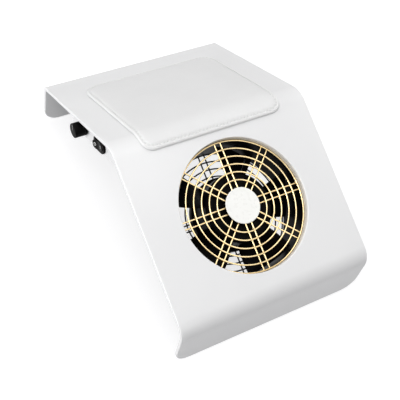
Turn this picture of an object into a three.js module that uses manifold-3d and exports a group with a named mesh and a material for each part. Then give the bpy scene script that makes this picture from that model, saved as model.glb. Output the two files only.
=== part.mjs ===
// Dust collector for a manicure table. A sheet bent like a roof stands on its two turned-down ends. Its rear
// plate carries a stitched hand pad, and an axial fan hangs under a round opening in the front slope. A control
// box under the rear plate holds the speed knob, the rocker switch and the power inlet.
// Millimetres, +X to the right, +Y to the rear, +Z up, origin under the middle of the bounding box.
import * as THREE from 'three';
import { mergeVertices } from 'three/addons/utils/BufferGeometryUtils.js';
import Module from 'manifold-3d';

const degrees = THREE.MathUtils.degToRad;

// Bent shell
const SHELL_WIDTH = 188;
const SHEET = 3.5;
const RIDGE_HEIGHT = 114;
const REST_LENGTH = 152;
const REST_TILT = degrees(26.4);
const SLOPE_TILT = degrees(23.3);
const RIDGE_BEND = 25;
const REST_BEND = 5;
const SLOPE_BEND = 18;
const FLANGE_CORNER = 15;
const OPENING_RADIUS = 59;
const OPENING_SETBACK = 20.8;
const OPENING_TO_FOLD = 23.2;

// Shared clearances and facet counts
const GAP = 0.3;
const OVERRUN = 5;
const BEND_STEPS = 7;
const OPENING_SIDES = 72;
const FAN_SIDES = 36;
const ROUND_SIDES = 24;
const SMALL_SIDES = 12;
const OVAL_STEPS = 5;
const CORNER_STEPS = 3;

// Hand pad
const PAD_WIDTH = 137;
const PAD_REAR = 121;
const PAD_FRONT = 13;
const PAD_REAR_CORNER = 17;
const PAD_FRONT_CORNER = 11;
const PAD_HEIGHT = 2.8;
const PAD_CROWN = 0.5;
const PAD_ROLL = 1.6;
const PAD_RIM = 5;
const PAD_SEAM_INSET = 2.8;
const PAD_SEAM_WIDTH = 1.2;
const PAD_SEAM_DEPTH = 0.5;
const PAD_CROWN_REACH = 20;
const PAD_CORNER_STEPS = 5;
const FOAM_HEIGHT = 1.5;

// Wire guards
const GUARD_DEPTH = 6.6;
const WIRE_RADIUS = 0.7;
const WELD = 0.3;
const DISC_RADIUS = 15.9;
const DISC_THICKNESS = 1.2;
const DISC_CHAMFER = 0.4;
const HIDDEN_RING_RADIUS = 10;
const OUTER_RING_GAP = 1.1;
const RING_COUNT = 6;
const SPOKE_SPREAD = 5.8;
const SPOKE_COUNT = 8;
const INLET_RING_STEPS = 28;
const OUTLET_RING_STEPS = 20;
const BOW_STEPS = 5;
const WIRE_SIDES = 4;

// Fan frame
const FAN_RIM = 1;
const FAN_LENGTH = 38;
const FAN_CORNER = 6;
const FAN_BORE_INSET = 1;
const FAN_BARREL_WALL = 1.7;
const FAN_FLANGE = 4.5;
const FAN_HOLE_INSET = 7.5;
const FAN_HOLE_RADIUS = 2.3;
const BELL_MOUTH = 1.1;
const BELL_LENGTH = 2.2;
const MOTOR_BASE_RADIUS = 34;
const MOTOR_BASE_THICKNESS = 3;
const MOTOR_COLLAR_WALL = 1.6;
const MOTOR_COLLAR_HEIGHT = 6;
const STRUT_WIDTH = 5;
const STRUT_COUNT = 4;

// Fan rotor, measured back from the front face of the fan frame
const HUB_RADIUS = 31;
const HUB_START = 3;
const HUB_LENGTH = 28;
const HUB_WALL = 2;
const HUB_CHAMFER = 1.5;
const HUB_BOSS_RADIUS = 5;
const HUB_BOSS_LENGTH = 7.5;
const BLADE_COUNT = 5;
const BLADE_TIP_GAP = 1.6;
const BLADE_START = 3.6;
const BLADE_LENGTH = 27.5;
const BLADE_THICKNESS = 2.2;
const BLADE_TWIST = degrees(42);
const BLADE_CAMBER = degrees(3);
const BLADE_REST_ANGLE = degrees(70);
const BLADE_ROOT_SINK = 0.8;
const SHAFT_RADIUS = 2;
const MAGNET_THICKNESS = 3.4;
const MAGNET_LENGTH = 20;
const CLIP_RADIUS = 3.4;
const CLIP_THICKNESS = 0.8;

// Fan motor
const BEARING_RADIUS = 5.5;
const BEARING_LENGTH = 4;
const BEARING_TUBE_WALL = 1.7;
const TUBE_SEAT_DEPTH = 2;
const POLE_COUNT = 4;
const POLE_RADIUS = 24;
const POLE_SHOE = 3.4;
const POLE_WIDTH = 26;
const ARM_WIDTH = 8;
const YOKE_RADIUS = 12;
const CORE_START = 16;
const CORE_LENGTH = 12;
const COIL_BUILD = 2.6;
const LINK_WIRE = 1.2;
const MOTOR_BOARD_RADIUS = 22;
const MOTOR_BOARD_THICKNESS = 1.2;

// Fan fixing
const STUD_RADIUS = 1.9;
const STUD_FOOT_RADIUS = 6;
const STUD_FOOT_THICKNESS = 1.2;
const STUD_TAIL = 1.2;
const NUT_FLANGE_RADIUS = 4.6;
const NUT_FLANGE_THICKNESS = 1;
const NUT_RADIUS = 4;
const NUT_THICKNESS = 3.4;
const GASKET_OVERHANG = 1;
const GASKET_CORNER = 8;

// Control tray, in the plane of the rear plate: y back from the ridge corner, z down from the plate's face
const TRAY_INSET = 8;
const TRAY_DEPTH = 25.5;
const TRAY_WALL = 2;
const TRAY_FRONT = 6;
const TRAY_REAR = 104;
const TRAY_REAR_CORNER = 9;
const TRAY_KNEE = 10;
const TRAY_TOE_DOWN = 19;
const TRAY_TOE_DEPTH = 19;
const TRAY_NOSE_DOWN = 26;
const BOSS_RADIUS = 4;
const BOSS_INSET = 10;
const BOSS_BORE_DEPTH = 12;
const SCREW_RADIUS = 1.3;
const SCREW_LENGTH = 11;
const SCREW_HEAD_RADIUS = 2.8;
const SCREW_HEAD_HEIGHT = 1.8;

// Speed control on the left wall
const KNOB_BACK = 73.5;
const KNOB_DEPTH = 13.4;
const KNOB_RADIUS = 6.75;
const KNOB_LENGTH = 11.5;
const KNOB_STANDOFF = 1;
const KNOB_CHAMFER = 0.7;
const KNOB_FACE = 2.2;
const KNOB_RECESS_WALL = 0.7;
const KNOB_RECESS_DEPTH = 3;
const POINTER_WIDTH = 1;
const POINTER_DEPTH = 0.5;
const POT_RADIUS = 8;
const POT_LENGTH = 8;
const BUSHING_RADIUS = 4.2;
const BUSHING_LENGTH = 5.8;
const POT_SHAFT_RADIUS = 3;
const POT_SHAFT_TAIL = 4;
const POT_NUT_RADIUS = 5.7;
const POT_NUT_THICKNESS = 2;
const POT_TAG_LENGTH = 4;

// Rocker switch on the left wall
const SWITCH_BACK = 41.5;
const SWITCH_SEAT_DEPTH = 16.8;
const BEZEL_LENGTH = 21;
const BEZEL_WIDTH = 14.5;
const BEZEL_THICKNESS = 2;
const BEZEL_BORDER = 2.2;
const SWITCH_BODY_LENGTH = 19;
const SWITCH_BODY_WIDTH = 12.8;
const SWITCH_BODY_DEPTH = 14;
const ROCKER_CLEARANCE = 0.6;
const ROCKER_ANGLE = degrees(9);
const ROCKER_PROUD = 0.5;
const ROCKER_PIVOT_DEPTH = 3;
const ROCKER_SIDE = 2;
const ROCKER_KEEL = 4.6;
const ROCKER_KEEL_WIDTH = 5;
const ROCKER_PIN_RADIUS = 1;
const ROCKER_PIN_LENGTH = 1;
const TAG_WIDTH = 4.8;
const TAG_THICKNESS = 0.8;
const TAG_LENGTH = 7;
const TAG_PITCH = 7;

// Power inlet on the right wall
const INLET_BACK = 60;
const INLET_SEAT_DEPTH = 14;
const INLET_FLANGE_RADIUS = 7;
const INLET_FLANGE_THICKNESS = 1.6;
const INLET_BODY_RADIUS = 5.5;
const INLET_BODY_LENGTH = 16;
const INLET_BORE_RADIUS = 2.9;
const INLET_BORE_DEPTH = 10;
const INLET_PIN_RADIUS = 1;
const INLET_NUT_RADIUS = 7.6;
const INLET_NUT_THICKNESS = 2.4;

// Control board
const BOARD_WIDTH = 70;
const BOARD_LENGTH = 50;
const BOARD_THICKNESS = 1.6;
const BOARD_RIGHT = 10;
const BOARD_BACK = 55;
const BOARD_HOLE_INSET = 4;
const STANDOFF_HEIGHT = 4;
const STANDOFF_RADIUS = 3;
const BOARD_SCREW_RADIUS = 1;
const BOARD_SCREW_LENGTH = 4.2;
const BOARD_SCREW_HEAD = 2;
const BOARD_SCREW_HEAD_HEIGHT = 1.4;
const CAPACITOR_RADIUS = 5;
const CAPACITOR_HEIGHT = 10.5;
const SINK_WIDTH = 24;
const SINK_LENGTH = 9;
const SINK_HEIGHT = 11;
const SINK_BASE = 2.5;
const FIN_COUNT = 6;
const FIN_THICKNESS = 1.4;
const TRANSISTOR_WIDTH = 10;
const TRANSISTOR_LENGTH = 4;
const TRANSISTOR_HEIGHT = 9;
const CONNECTOR_WIDTH = 16;
const CONNECTOR_LENGTH = 7;
const CONNECTOR_HEIGHT = 6.5;
const MOUTH_DEPTH = 3;
const CHOKE_RADIUS = 7;
const CHOKE_BORE = 3.2;
const CHOKE_HEIGHT = 6;

// Leads
const FAN_LEAD_RADIUS = 1.3;
const FAN_LEAD_RIGHT = 20;
const FAN_LEAD_DEPTH = 18;
const FAN_LEAD_HOLE_DEPTH = 18.6;
const FAN_LEAD_HANDLE = 4;
const GROMMET_LIP = 1.2;
const GROMMET_BODY = 1.1;
const LEAD_RADIUS = 1.1;
const LEAD_HANDLE = 5;
const SLEEVE_WALL = 1.2;
const LEAD_STEPS = 12;

// Places worked out from the sizes above
const shellHalf = SHELL_WIDTH / 2;
const openingDown = OPENING_SETBACK + OPENING_RADIUS;
const slopeLength = openingDown + OPENING_RADIUS + OPENING_TO_FOLD;
const restRun = REST_LENGTH * Math.cos(REST_TILT);
const slopeRun = slopeLength * Math.cos(SLOPE_TILT);
const restFoot = RIDGE_HEIGHT - REST_LENGTH * Math.sin(REST_TILT);
const slopeFoot = RIDGE_HEIGHT - slopeLength * Math.sin(SLOPE_TILT);
const ridgeTurn = REST_TILT + SLOPE_TILT;
const trayHalf = shellHalf - TRAY_INSET;
const trayTop = SHEET + GAP;
const trayFloor = TRAY_DEPTH - TRAY_WALL;
const trayMiddle = (TRAY_FRONT + TRAY_REAR) / 2;
const layerStep = 2 * WIRE_RADIUS - WELD;
const fanFace = GUARD_DEPTH + layerStep + WIRE_RADIUS + GAP;
const fanBack = fanFace + FAN_LENGTH;
const outletSpokes = fanBack + GAP + WIRE_RADIUS;
const nutTop = outletSpokes + WIRE_RADIUS + GAP;
const studEnd = nutTop + NUT_THICKNESS + STUD_TAIL;
const fanBore = OPENING_RADIUS - FAN_BORE_INSET;
const fanSide = 2 * (OPENING_RADIUS + FAN_RIM);
const holePitch = fanSide - 2 * FAN_HOLE_INSET;
const studRadius = holePitch / Math.SQRT2;
const bladeTip = fanBore - BLADE_TIP_GAP;
const outerRing = OPENING_RADIUS - OUTER_RING_GAP;
const ringPitch = (outerRing - DISC_RADIUS) / RING_COUNT;
const ringRadii = Array.from({ length: RING_COUNT }, (_, i) => DISC_RADIUS + (i + 1) * ringPitch);
const hubBottom = HUB_START + HUB_LENGTH;
const tubeInner = BEARING_RADIUS + GAP;
const tubeOuter = tubeInner + BEARING_TUBE_WALL;
const motorFloor = FAN_LENGTH - MOTOR_BASE_THICKNESS;
const hubBossEnd = HUB_START + HUB_WALL + HUB_BOSS_LENGTH;
const tubeStart = hubBossEnd + GAP;
const tubeEnd = motorFloor + TUBE_SEAT_DEPTH - GAP;
const knobBack = trayHalf + KNOB_STANDOFF;
const knobFront = knobBack + KNOB_LENGTH;
const bezelFace = trayHalf + GAP + BEZEL_THICKNESS;
const boardTop = trayFloor - STANDOFF_HEIGHT - GAP - BOARD_THICKNESS;
const mouthHeight = CONNECTOR_HEIGHT / 2;
const mouthShift = CONNECTOR_WIDTH / 4;

// Frames of the rear plate and of the slope: both start at the ridge's corner, y runs to the rear, z out of
// the sheet.
const restFrame = new THREE.Matrix4().makeRotationX(-REST_TILT).setPosition(0, 0, RIDGE_HEIGHT);
const slopeFrame = new THREE.Matrix4().makeRotationX(SLOPE_TILT).setPosition(0, 0, RIDGE_HEIGHT);
const right = new THREE.Vector3(1, 0, 0);
const rear = new THREE.Vector3(0, 1, 0);

const CORNER_NAMES = ['left_front', 'left_rear', 'right_front', 'right_rear'];

const wasm = await Module();
wasm.setup();

// Joining and cutting

function cleanIndex(geometry) {
  const bare = geometry.clone();
  bare.deleteAttribute('normal');
  bare.deleteAttribute('uv');
  const merged = mergeVertices(bare);
  const index = [];
  for (let i = 0; i < merged.index.count; i += 3) {
    const [a, b, c] = [0, 1, 2].map((step) => merged.index.getX(i + step));
    if (a !== b && b !== c && c !== a) index.push(a, b, c);
  }
  merged.setIndex(index);
  return merged;
}

function signedVolume(geometry) {
  const place = geometry.attributes.position;
  const corners = [new THREE.Vector3(), new THREE.Vector3(), new THREE.Vector3()];
  let sum = 0;
  for (let i = 0; i < geometry.index.count; i += 3) {
    corners.forEach((corner, step) => corner.fromBufferAttribute(place, geometry.index.getX(i + step)));
    sum += corners[0].dot(corners[1].clone().cross(corners[2]));
  }
  return sum;
}

function toSolid(geometry) {
  const clean = cleanIndex(geometry);
  const triVerts = Uint32Array.from(clean.index.array);
  if (signedVolume(clean) < 0) triVerts.reverse();
  const vertProperties = Float32Array.from(clean.attributes.position.array);
  return new wasm.Manifold(new wasm.Mesh({ numProp: 3, vertProperties, triVerts }));
}

function toGeometry(body) {
  const { vertProperties, triVerts } = body.getMesh();
  const geometry = new THREE.BufferGeometry();
  geometry.setAttribute('position', new THREE.BufferAttribute(Float32Array.from(vertProperties), 3));
  geometry.setIndex(Array.from(triVerts));
  geometry.computeVertexNormals();
  return geometry;
}

function join(...geometries) {
  return toGeometry(geometries.map(toSolid).reduce((whole, next) => whole.add(next)));
}

function cut(base, ...tools) {
  return toGeometry(tools.map(toSolid).reduce((whole, tool) => whole.subtract(tool), toSolid(base)));
}

function common(first, second) {
  return toGeometry(toSolid(first).intersect(toSolid(second)));
}

// Plain forms

function block(low, high) {
  const size = high.map((value, axis) => value - low[axis]);
  const middle = high.map((value, axis) => (value + low[axis]) / 2);
  return new THREE.BoxGeometry(...size).translate(...middle);
}

// A round bar that stands on z = 0.
function bar(radius, length, sides = ROUND_SIDES) {
  return new THREE.CylinderGeometry(radius, radius, length, sides)
    .rotateX(Math.PI / 2).translate(0, 0, length / 2);
}

// A round bar that starts on x = 0 and runs along +X.
function barAlongX(radius, length, sides = ROUND_SIDES) {
  return bar(radius, length, sides).rotateY(Math.PI / 2);
}

// A profile of [radius, height] points, turned about Z.
function turned(profile, sides = ROUND_SIDES) {
  const points = profile.map(([radius, height]) => new THREE.Vector2(radius, height));
  return new THREE.LatheGeometry(points, sides).rotateX(Math.PI / 2);
}

function ring(outer, inner, length, sides = ROUND_SIDES) {
  return turned([[inner, 0], [outer, 0], [outer, length], [inner, length], [inner, 0]], sides);
}

function roundedRectangle(width, height, radius) {
  const [right, top] = [width / 2, height / 2];
  const shape = new THREE.Shape();
  shape.absarc(right - radius, top - radius, radius, 0, Math.PI / 2);
  shape.absarc(radius - right, top - radius, radius, Math.PI / 2, Math.PI);
  shape.absarc(radius - right, radius - top, radius, Math.PI, 3 * Math.PI / 2);
  shape.absarc(right - radius, radius - top, radius, 3 * Math.PI / 2, 2 * Math.PI);
  return shape;
}

// A flat outline, pulled up from z = 0.
function slab(shape, thickness, curveSegments = BEND_STEPS) {
  return new THREE.ExtrudeGeometry(shape, { depth: thickness, bevelEnabled: false, curveSegments });
}

// A side view of [y, z] points, pulled out along X to both sides of x = 0.
function across(points, width) {
  const shape = new THREE.Shape(points.map(([y, z]) => new THREE.Vector2(y, z)));
  const geometry = new THREE.ExtrudeGeometry(shape, { depth: width, bevelEnabled: false });
  const turn = new THREE.Matrix4().makeBasis(
    new THREE.Vector3(0, 1, 0), new THREE.Vector3(0, 0, 1), new THREE.Vector3(1, 0, 0));
  return geometry.applyMatrix4(turn).translate(-width / 2, 0, 0);
}

// An outline that faces left, pulled out from x = 0 to the left: its width lies along y, its height along z.
function slabToLeft(shape, thickness) {
  const turn = new THREE.Matrix4().makeBasis(
    new THREE.Vector3(0, 1, 0), new THREE.Vector3(0, 0, 1), new THREE.Vector3(1, 0, 0));
  return slab(shape, thickness, OVAL_STEPS).applyMatrix4(turn).translate(-thickness, 0, 0);
}

// A wire of few sides along a curve.
function wire(curve, radius, steps, sides = 6) {
  const section = new THREE.Shape();
  for (let i = 0; i < sides; i += 1) {
    const angle = 2 * Math.PI * i / sides;
    const [x, y] = [radius * Math.cos(angle), radius * Math.sin(angle)];
    if (i === 0) section.moveTo(x, y);
    else section.lineTo(x, y);
  }
  return new THREE.ExtrudeGeometry(section, { steps, extrudePath: curve, bevelEnabled: false });
}

// Copies at the four corners of a rectangle, moved to [x, y, z].
function atCorners(geometry, halfWidth, halfLength, middle) {
  const copies = [];
  for (const x of [-halfWidth, halfWidth]) {
    for (const y of [-halfLength, halfLength]) {
      copies.push(geometry.clone().translate(middle[0] + x, middle[1] + y, middle[2]));
    }
  }
  return copies;
}

function turnedCopies(geometry, count, start = 0) {
  return Array.from({ length: count }, (_, i) => geometry.clone().rotateZ(start + 2 * Math.PI * i / count));
}

function finish(color, roughness, metalness = 0) {
  return new THREE.MeshStandardMaterial({ color, roughness, metalness });
}

function mesh(name, geometry, material) {
  const made = new THREE.Mesh(geometry, material);
  made.name = name;
  return made;
}

// One mesh for each copy that atCorners gives.
function cornerMeshes(name, geometries, material) {
  return geometries.map((geometry, i) => mesh(`${name}_${CORNER_NAMES[i]}`, geometry, material));
}

const whiteGloss = finish(0xf2f2f2, 0.3);
const whiteLeather = finish(0xededed, 0.55);
const foamGrey = finish(0xd8d6d0, 0.95);
const gaskets = finish(0xb9b2a6, 0.8);
const brass = finish(0xe6c684, 0.3, 1);
const ivory = finish(0xfdfdf8, 0.35);
const blackPlastic = finish(0x141414, 0.4);
const glossBlack = finish(0x0e0e0e, 0.2);
const blackPaint = finish(0x1a1a1a, 0.35, 0.6);
const steel = finish(0xb9bcc0, 0.3, 1);
const magnetGrey = finish(0x4a4a4c, 0.7);
const copper = finish(0xb5693a, 0.4, 1);
const boardGreen = finish(0x1f5a37, 0.5);
const connectorIvory = finish(0xe9e4d4, 0.5);
const aluminium = finish(0xc3c6c9, 0.35, 1);
const rubber = finish(0x1b1b1b, 0.8);
const leadGrey = finish(0x2c2c2e, 0.6);

// Shell

// The bends of the sheet in side view, from the rear foot over the ridge to the front foot. A positive inward
// value gives the path that lies that far inside the outer face.
function sectionPath(inward) {
  const corners = [
    [restRun, 0], [restRun, restFoot], [0, RIDGE_HEIGHT], [-slopeRun, slopeFoot], [-slopeRun, 0],
  ].map(([y, z]) => new THREE.Vector2(y, z));
  const bends = [0, REST_BEND, RIDGE_BEND, SLOPE_BEND, 0];
  const along = corners.slice(1).map((corner, i) => corner.clone().sub(corners[i]).normalize());
  const inside = along.map((way) => new THREE.Vector2(-way.y, way.x));
  const points = [corners[0].clone().addScaledVector(inside[0], inward)];
  for (let i = 1; i < corners.length - 1; i += 1) {
    const [before, after] = [inside[i - 1], inside[i]];
    const mitre = before.clone().add(after).multiplyScalar(inward / (1 + before.dot(after)));
    const corner = corners[i].clone().add(mitre);
    const turn = Math.acos(before.dot(after));
    const radius = bends[i] - inward;
    const start = corner.clone().addScaledVector(along[i - 1], -radius * Math.tan(turn / 2));
    const centre = start.clone().addScaledVector(before, radius);
    for (let step = 0; step <= BEND_STEPS; step += 1) {
      const spoke = start.clone().sub(centre).rotateAround(new THREE.Vector2(), turn * step / BEND_STEPS);
      points.push(centre.clone().add(spoke));
    }
  }
  const last = corners.length - 1;
  points.push(corners[last].clone().addScaledVector(inside[last - 1], inward));
  return points.map((point) => [point.x, point.y]);
}

function bentShell() {
  const outline = [...sectionPath(0), ...sectionPath(SHEET).reverse()];
  const opening = bar(OPENING_RADIUS, 2 * (SHEET + OVERRUN), OPENING_SIDES)
    .translate(0, -openingDown, -SHEET - OVERRUN).applyMatrix4(slopeFrame);
  const corners = [-1, 1].map((side) => {
    const inner = side * (shellHalf - FLANGE_CORNER);
    const outer = side * (shellHalf + OVERRUN);
    const square = block(
      [Math.min(inner, outer), -slopeRun - OVERRUN, -OVERRUN],
      [Math.max(inner, outer), restRun + OVERRUN, FLANGE_CORNER]);
    const round = bar(FLANGE_CORNER, slopeRun + restRun + 4 * OVERRUN).rotateX(-Math.PI / 2)
      .translate(inner, -slopeRun - 2 * OVERRUN, FLANGE_CORNER);
    return cut(square, round);
  });
  return cut(across(outline, SHELL_WIDTH), opening, ...corners);
}

// Hand pad

// A place on the shell's upper face and the way out of it. Run is measured along the face from the middle of
// the ridge bend, to the rear.
function faceAt(run) {
  const halfTurn = ridgeTurn / 2;
  const lean = (REST_TILT - SLOPE_TILT) / 2;
  const reach = RIDGE_BEND / Math.cos(halfTurn);
  const centre = new THREE.Vector2(-reach * Math.sin(lean), RIDGE_HEIGHT - reach * Math.cos(lean));
  const bendRun = RIDGE_BEND * halfTurn;
  const angle = THREE.MathUtils.clamp(run / RIDGE_BEND, -halfTurn, halfTurn) + lean;
  const out = new THREE.Vector2(Math.sin(angle), Math.cos(angle));
  const along = new THREE.Vector2(out.y, -out.x);
  const past = run - THREE.MathUtils.clamp(run, -bendRun, bendRun);
  const place = centre.addScaledVector(out, RIDGE_BEND).addScaledVector(along, past);
  return { place, out };
}

const bendHalf = RIDGE_BEND * ridgeTurn / 2;
const bendFlat = bendHalf - RIDGE_BEND * Math.tan(ridgeTurn / 2);
const padRearRun = PAD_REAR + bendFlat;
const padFrontRun = PAD_FRONT + bendFlat;
const foamInset = PAD_RIM + 2 * GAP;
const padTop = GAP + PAD_HEIGHT;

// How far the rolled edge comes in, as a share of its width, and how high it stands there, as a share of the
// pad's height.
const rollShares = [[0.3, 0], [0, 0.3], [0.08, 0.6], [0.4, 0.9], [1, 1]];
const columnShares = [-1, -0.5, 0, 0.5, 1];
const bendRowShares = [0, 0.5, 1];

// The right side of the pad's outline, drawn in by inset, as [x, run] from the front edge to the rear edge.
function padSide(inset) {
  const half = PAD_WIDTH / 2;
  const points = [];
  const addCorner = (radius, run, from) => {
    for (let step = 0; step <= PAD_CORNER_STEPS; step += 1) {
      const angle = from + Math.PI / 2 * step / PAD_CORNER_STEPS;
      const [across, along] = [(radius - inset) * Math.cos(angle), (radius - inset) * Math.sin(angle)];
      points.push([half - radius + across, run + along]);
    }
  };
  addCorner(PAD_FRONT_CORNER, PAD_FRONT_CORNER - padFrontRun, -Math.PI / 2);
  const sideStart = points[points.length - 1][1];
  for (const share of bendRowShares) {
    if (share * bendHalf > sideStart) points.push([half - inset, share * bendHalf]);
  }
  addCorner(PAD_REAR_CORNER, padRearRun - PAD_REAR_CORNER, 0);
  return points;
}

// How far a point lies inside the pad's outline.
function padEdgeDistance(x, run) {
  const [rearward, forward] = [padRearRun - run, run + padFrontRun];
  const [end, radius] = rearward < forward ? [rearward, PAD_REAR_CORNER] : [forward, PAD_FRONT_CORNER];
  const side = PAD_WIDTH / 2 - Math.abs(x);
  if (end < radius && side < radius) return radius - Math.hypot(radius - end, radius - side);
  return Math.min(end, side);
}

function crownAt(edge) {
  return PAD_CROWN * THREE.MathUtils.smoothstep(edge, PAD_SEAM_INSET, PAD_SEAM_INSET + PAD_CROWN_REACH);
}

// A body on the shell's face, made of layers from the middle of its underside, round its edge, to the middle
// of its top. Each layer is [inset, height at a distance from the pad's edge].
function padBody(layers) {
  const places = [];
  const faces = [];
  const columns = columnShares.length;
  const rows = padSide(0).length;
  for (const [inset, height] of layers) {
    for (const [half, run] of padSide(inset)) {
      const face = faceAt(run);
      for (const share of columnShares) {
        const out = height(padEdgeDistance(share * half, run));
        const point = face.place.clone().addScaledVector(face.out, out);
        places.push(share * half, point.x, point.y);
      }
    }
  }
  const at = (layer, row, column) => (layer * rows + row) * columns + column;
  const rim = [];
  for (let column = 0; column < columns; column += 1) rim.push([0, column]);
  for (let row = 1; row < rows; row += 1) rim.push([row, columns - 1]);
  for (let column = columns - 2; column >= 0; column -= 1) rim.push([rows - 1, column]);
  for (let row = rows - 2; row > 0; row -= 1) rim.push([row, 0]);
  const addFace = (a, b, c, d) => faces.push(a, b, c, a, c, d);
  for (let layer = 0; layer < layers.length - 1; layer += 1) {
    rim.forEach((here, i) => {
      const next = rim[(i + 1) % rim.length];
      addFace(at(layer, ...here), at(layer, ...next), at(layer + 1, ...next), at(layer + 1, ...here));
    });
  }
  const top = layers.length - 1;
  for (let row = 0; row < rows - 1; row += 1) {
    for (let column = 0; column < columns - 1; column += 1) {
      addFace(at(0, row, column), at(0, row + 1, column), at(0, row + 1, column + 1), at(0, row, column + 1));
      addFace(at(top, row, column), at(top, row, column + 1), at(top, row + 1, column + 1),
        at(top, row + 1, column));
    }
  }
  const geometry = new THREE.BufferGeometry();
  geometry.setAttribute('position', new THREE.Float32BufferAttribute(places, 3));
  geometry.setIndex(faces);
  return toGeometry(toSolid(geometry));
}

// The cover lies on the sheet along its rim and on the foam inside it. A sewn seam runs inside its rolled edge.
function handPadCover() {
  return padBody([
    [PAD_RIM + GAP, () => FOAM_HEIGHT + 2 * GAP],
    [PAD_RIM, () => GAP],
    ...rollShares.map(([inShare, upShare]) => [inShare * PAD_ROLL, () => GAP + upShare * PAD_HEIGHT]),
    [PAD_SEAM_INSET, () => padTop - PAD_SEAM_DEPTH],
    [PAD_SEAM_INSET + PAD_SEAM_WIDTH, (edge) => padTop + crownAt(edge)],
  ]);
}

function handPadFoam() {
  return padBody([[foamInset, () => GAP], [foamInset, () => GAP + FOAM_HEIGHT]]);
}

// Wire guards

class Arc extends THREE.Curve {
  constructor(centre, radius, start, sweep) {
    super();
    Object.assign(this, { centre, radius, start, sweep });
  }

  getPoint(share) {
    const angle = this.start + this.sweep * share;
    return new THREE.Vector3(
      this.centre + this.radius * Math.cos(angle), this.radius * Math.sin(angle), 0);
  }
}

// Rings lie at z = 0 and double spokes in the layer at spokeHeight. The diagonal spokes are hairpins that pass
// round the fixing studs.
function wireGuard(ringRadii, spokeHeight, ringSteps) {
  const spread = SPOKE_SPREAD / 2;
  const pieces = ringRadii.map((radius) => new THREE.TorusGeometry(radius, WIRE_RADIUS, WIRE_SIDES, ringSteps));
  for (let i = 0; i < SPOKE_COUNT; i += 1) {
    const angle = 2 * Math.PI * i / SPOKE_COUNT;
    const hairpin = i % 2 === 1;
    const start = ringRadii[0] - WIRE_RADIUS;
    const end = hairpin ? studRadius : outerRing + WIRE_RADIUS / 2;
    for (const side of [-spread, spread]) {
      const run = barAlongX(WIRE_RADIUS, end - start, WIRE_SIDES);
      pieces.push(run.translate(start, side, spokeHeight).rotateZ(angle));
    }
    if (hairpin) {
      const bow = new Arc(studRadius - WELD, spread, -Math.PI / 2, Math.PI);
      pieces.push(wire(bow, WIRE_RADIUS, BOW_STEPS, WIRE_SIDES).translate(0, 0, spokeHeight).rotateZ(angle));
    }
  }
  return join(...pieces);
}

function centreDisc() {
  const edge = DISC_RADIUS - DISC_CHAMFER;
  return turned([
    [0, 0], [DISC_RADIUS, 0], [DISC_RADIUS, DISC_THICKNESS - DISC_CHAMFER], [edge, DISC_THICKNESS],
    [0, DISC_THICKNESS],
  ]);
}

// Fan, with z = 0 on the front face of its frame

function fanFrame() {
  const outline = roundedRectangle(fanSide, fanSide, FAN_CORNER);
  const flange = slab(outline, FAN_FLANGE, CORNER_STEPS);
  const holes = atCorners(
    bar(FAN_HOLE_RADIUS, FAN_LENGTH + 2 * OVERRUN, SMALL_SIDES), holePitch / 2, holePitch / 2,
    [0, 0, -FAN_LENGTH - OVERRUN]);
  const barrel = bar(fanBore + FAN_BARREL_WALL, FAN_LENGTH, FAN_SIDES).translate(0, 0, -FAN_LENGTH);
  const bore = bar(fanBore, FAN_LENGTH + 2 * OVERRUN, FAN_SIDES).translate(0, 0, -FAN_LENGTH - OVERRUN);
  const mouth = turned([
    [0, -BELL_LENGTH], [fanBore, -BELL_LENGTH], [fanBore + BELL_MOUTH, 0], [fanBore + BELL_MOUTH, OVERRUN],
    [0, OVERRUN],
  ], FAN_SIDES);
  const walls = cut(
    join(flange.clone().translate(0, 0, -FAN_FLANGE), flange.translate(0, 0, -FAN_LENGTH), barrel),
    bore, mouth, ...holes);
  const seat = bar(tubeOuter + GAP, TUBE_SEAT_DEPTH + OVERRUN, SMALL_SIDES)
    .translate(0, 0, -motorFloor - TUBE_SEAT_DEPTH);
  const base = cut(
    bar(MOTOR_BASE_RADIUS, MOTOR_COLLAR_HEIGHT).translate(0, 0, -FAN_LENGTH),
    bar(MOTOR_BASE_RADIUS - MOTOR_COLLAR_WALL, MOTOR_COLLAR_HEIGHT).translate(0, 0, -motorFloor), seat);
  const strut = block(
    [MOTOR_BASE_RADIUS - MOTOR_COLLAR_WALL / 2, -STRUT_WIDTH / 2, -FAN_LENGTH],
    [fanBore + FAN_BARREL_WALL / 2, STRUT_WIDTH / 2, MOTOR_COLLAR_HEIGHT - FAN_LENGTH]);
  return join(walls, base, ...turnedCopies(strut, STRUT_COUNT, Math.PI / STRUT_COUNT));
}

// One blade: a thin box whose length follows the radius and whose width twists round the hub from the front
// to the back.
function blade() {
  const [radial, axial] = [2, 5];
  const geometry = new THREE.BoxGeometry(1, 1, 1, radial, 1, axial).translate(0.5, 0, 0.5);
  const place = geometry.attributes.position;
  for (let i = 0; i < place.count; i += 1) {
    const root = HUB_RADIUS - BLADE_ROOT_SINK;
    const radius = root + place.getX(i) * (bladeTip - root);
    const back = place.getZ(i);
    const middle = BLADE_TWIST * (0.5 - back) + BLADE_CAMBER * Math.sin(Math.PI * back);
    const angle = middle + place.getY(i) * BLADE_THICKNESS / radius;
    place.setXYZ(i, radius * Math.cos(angle), radius * Math.sin(angle), -BLADE_START - back * BLADE_LENGTH);
  }
  return geometry;
}

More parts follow.
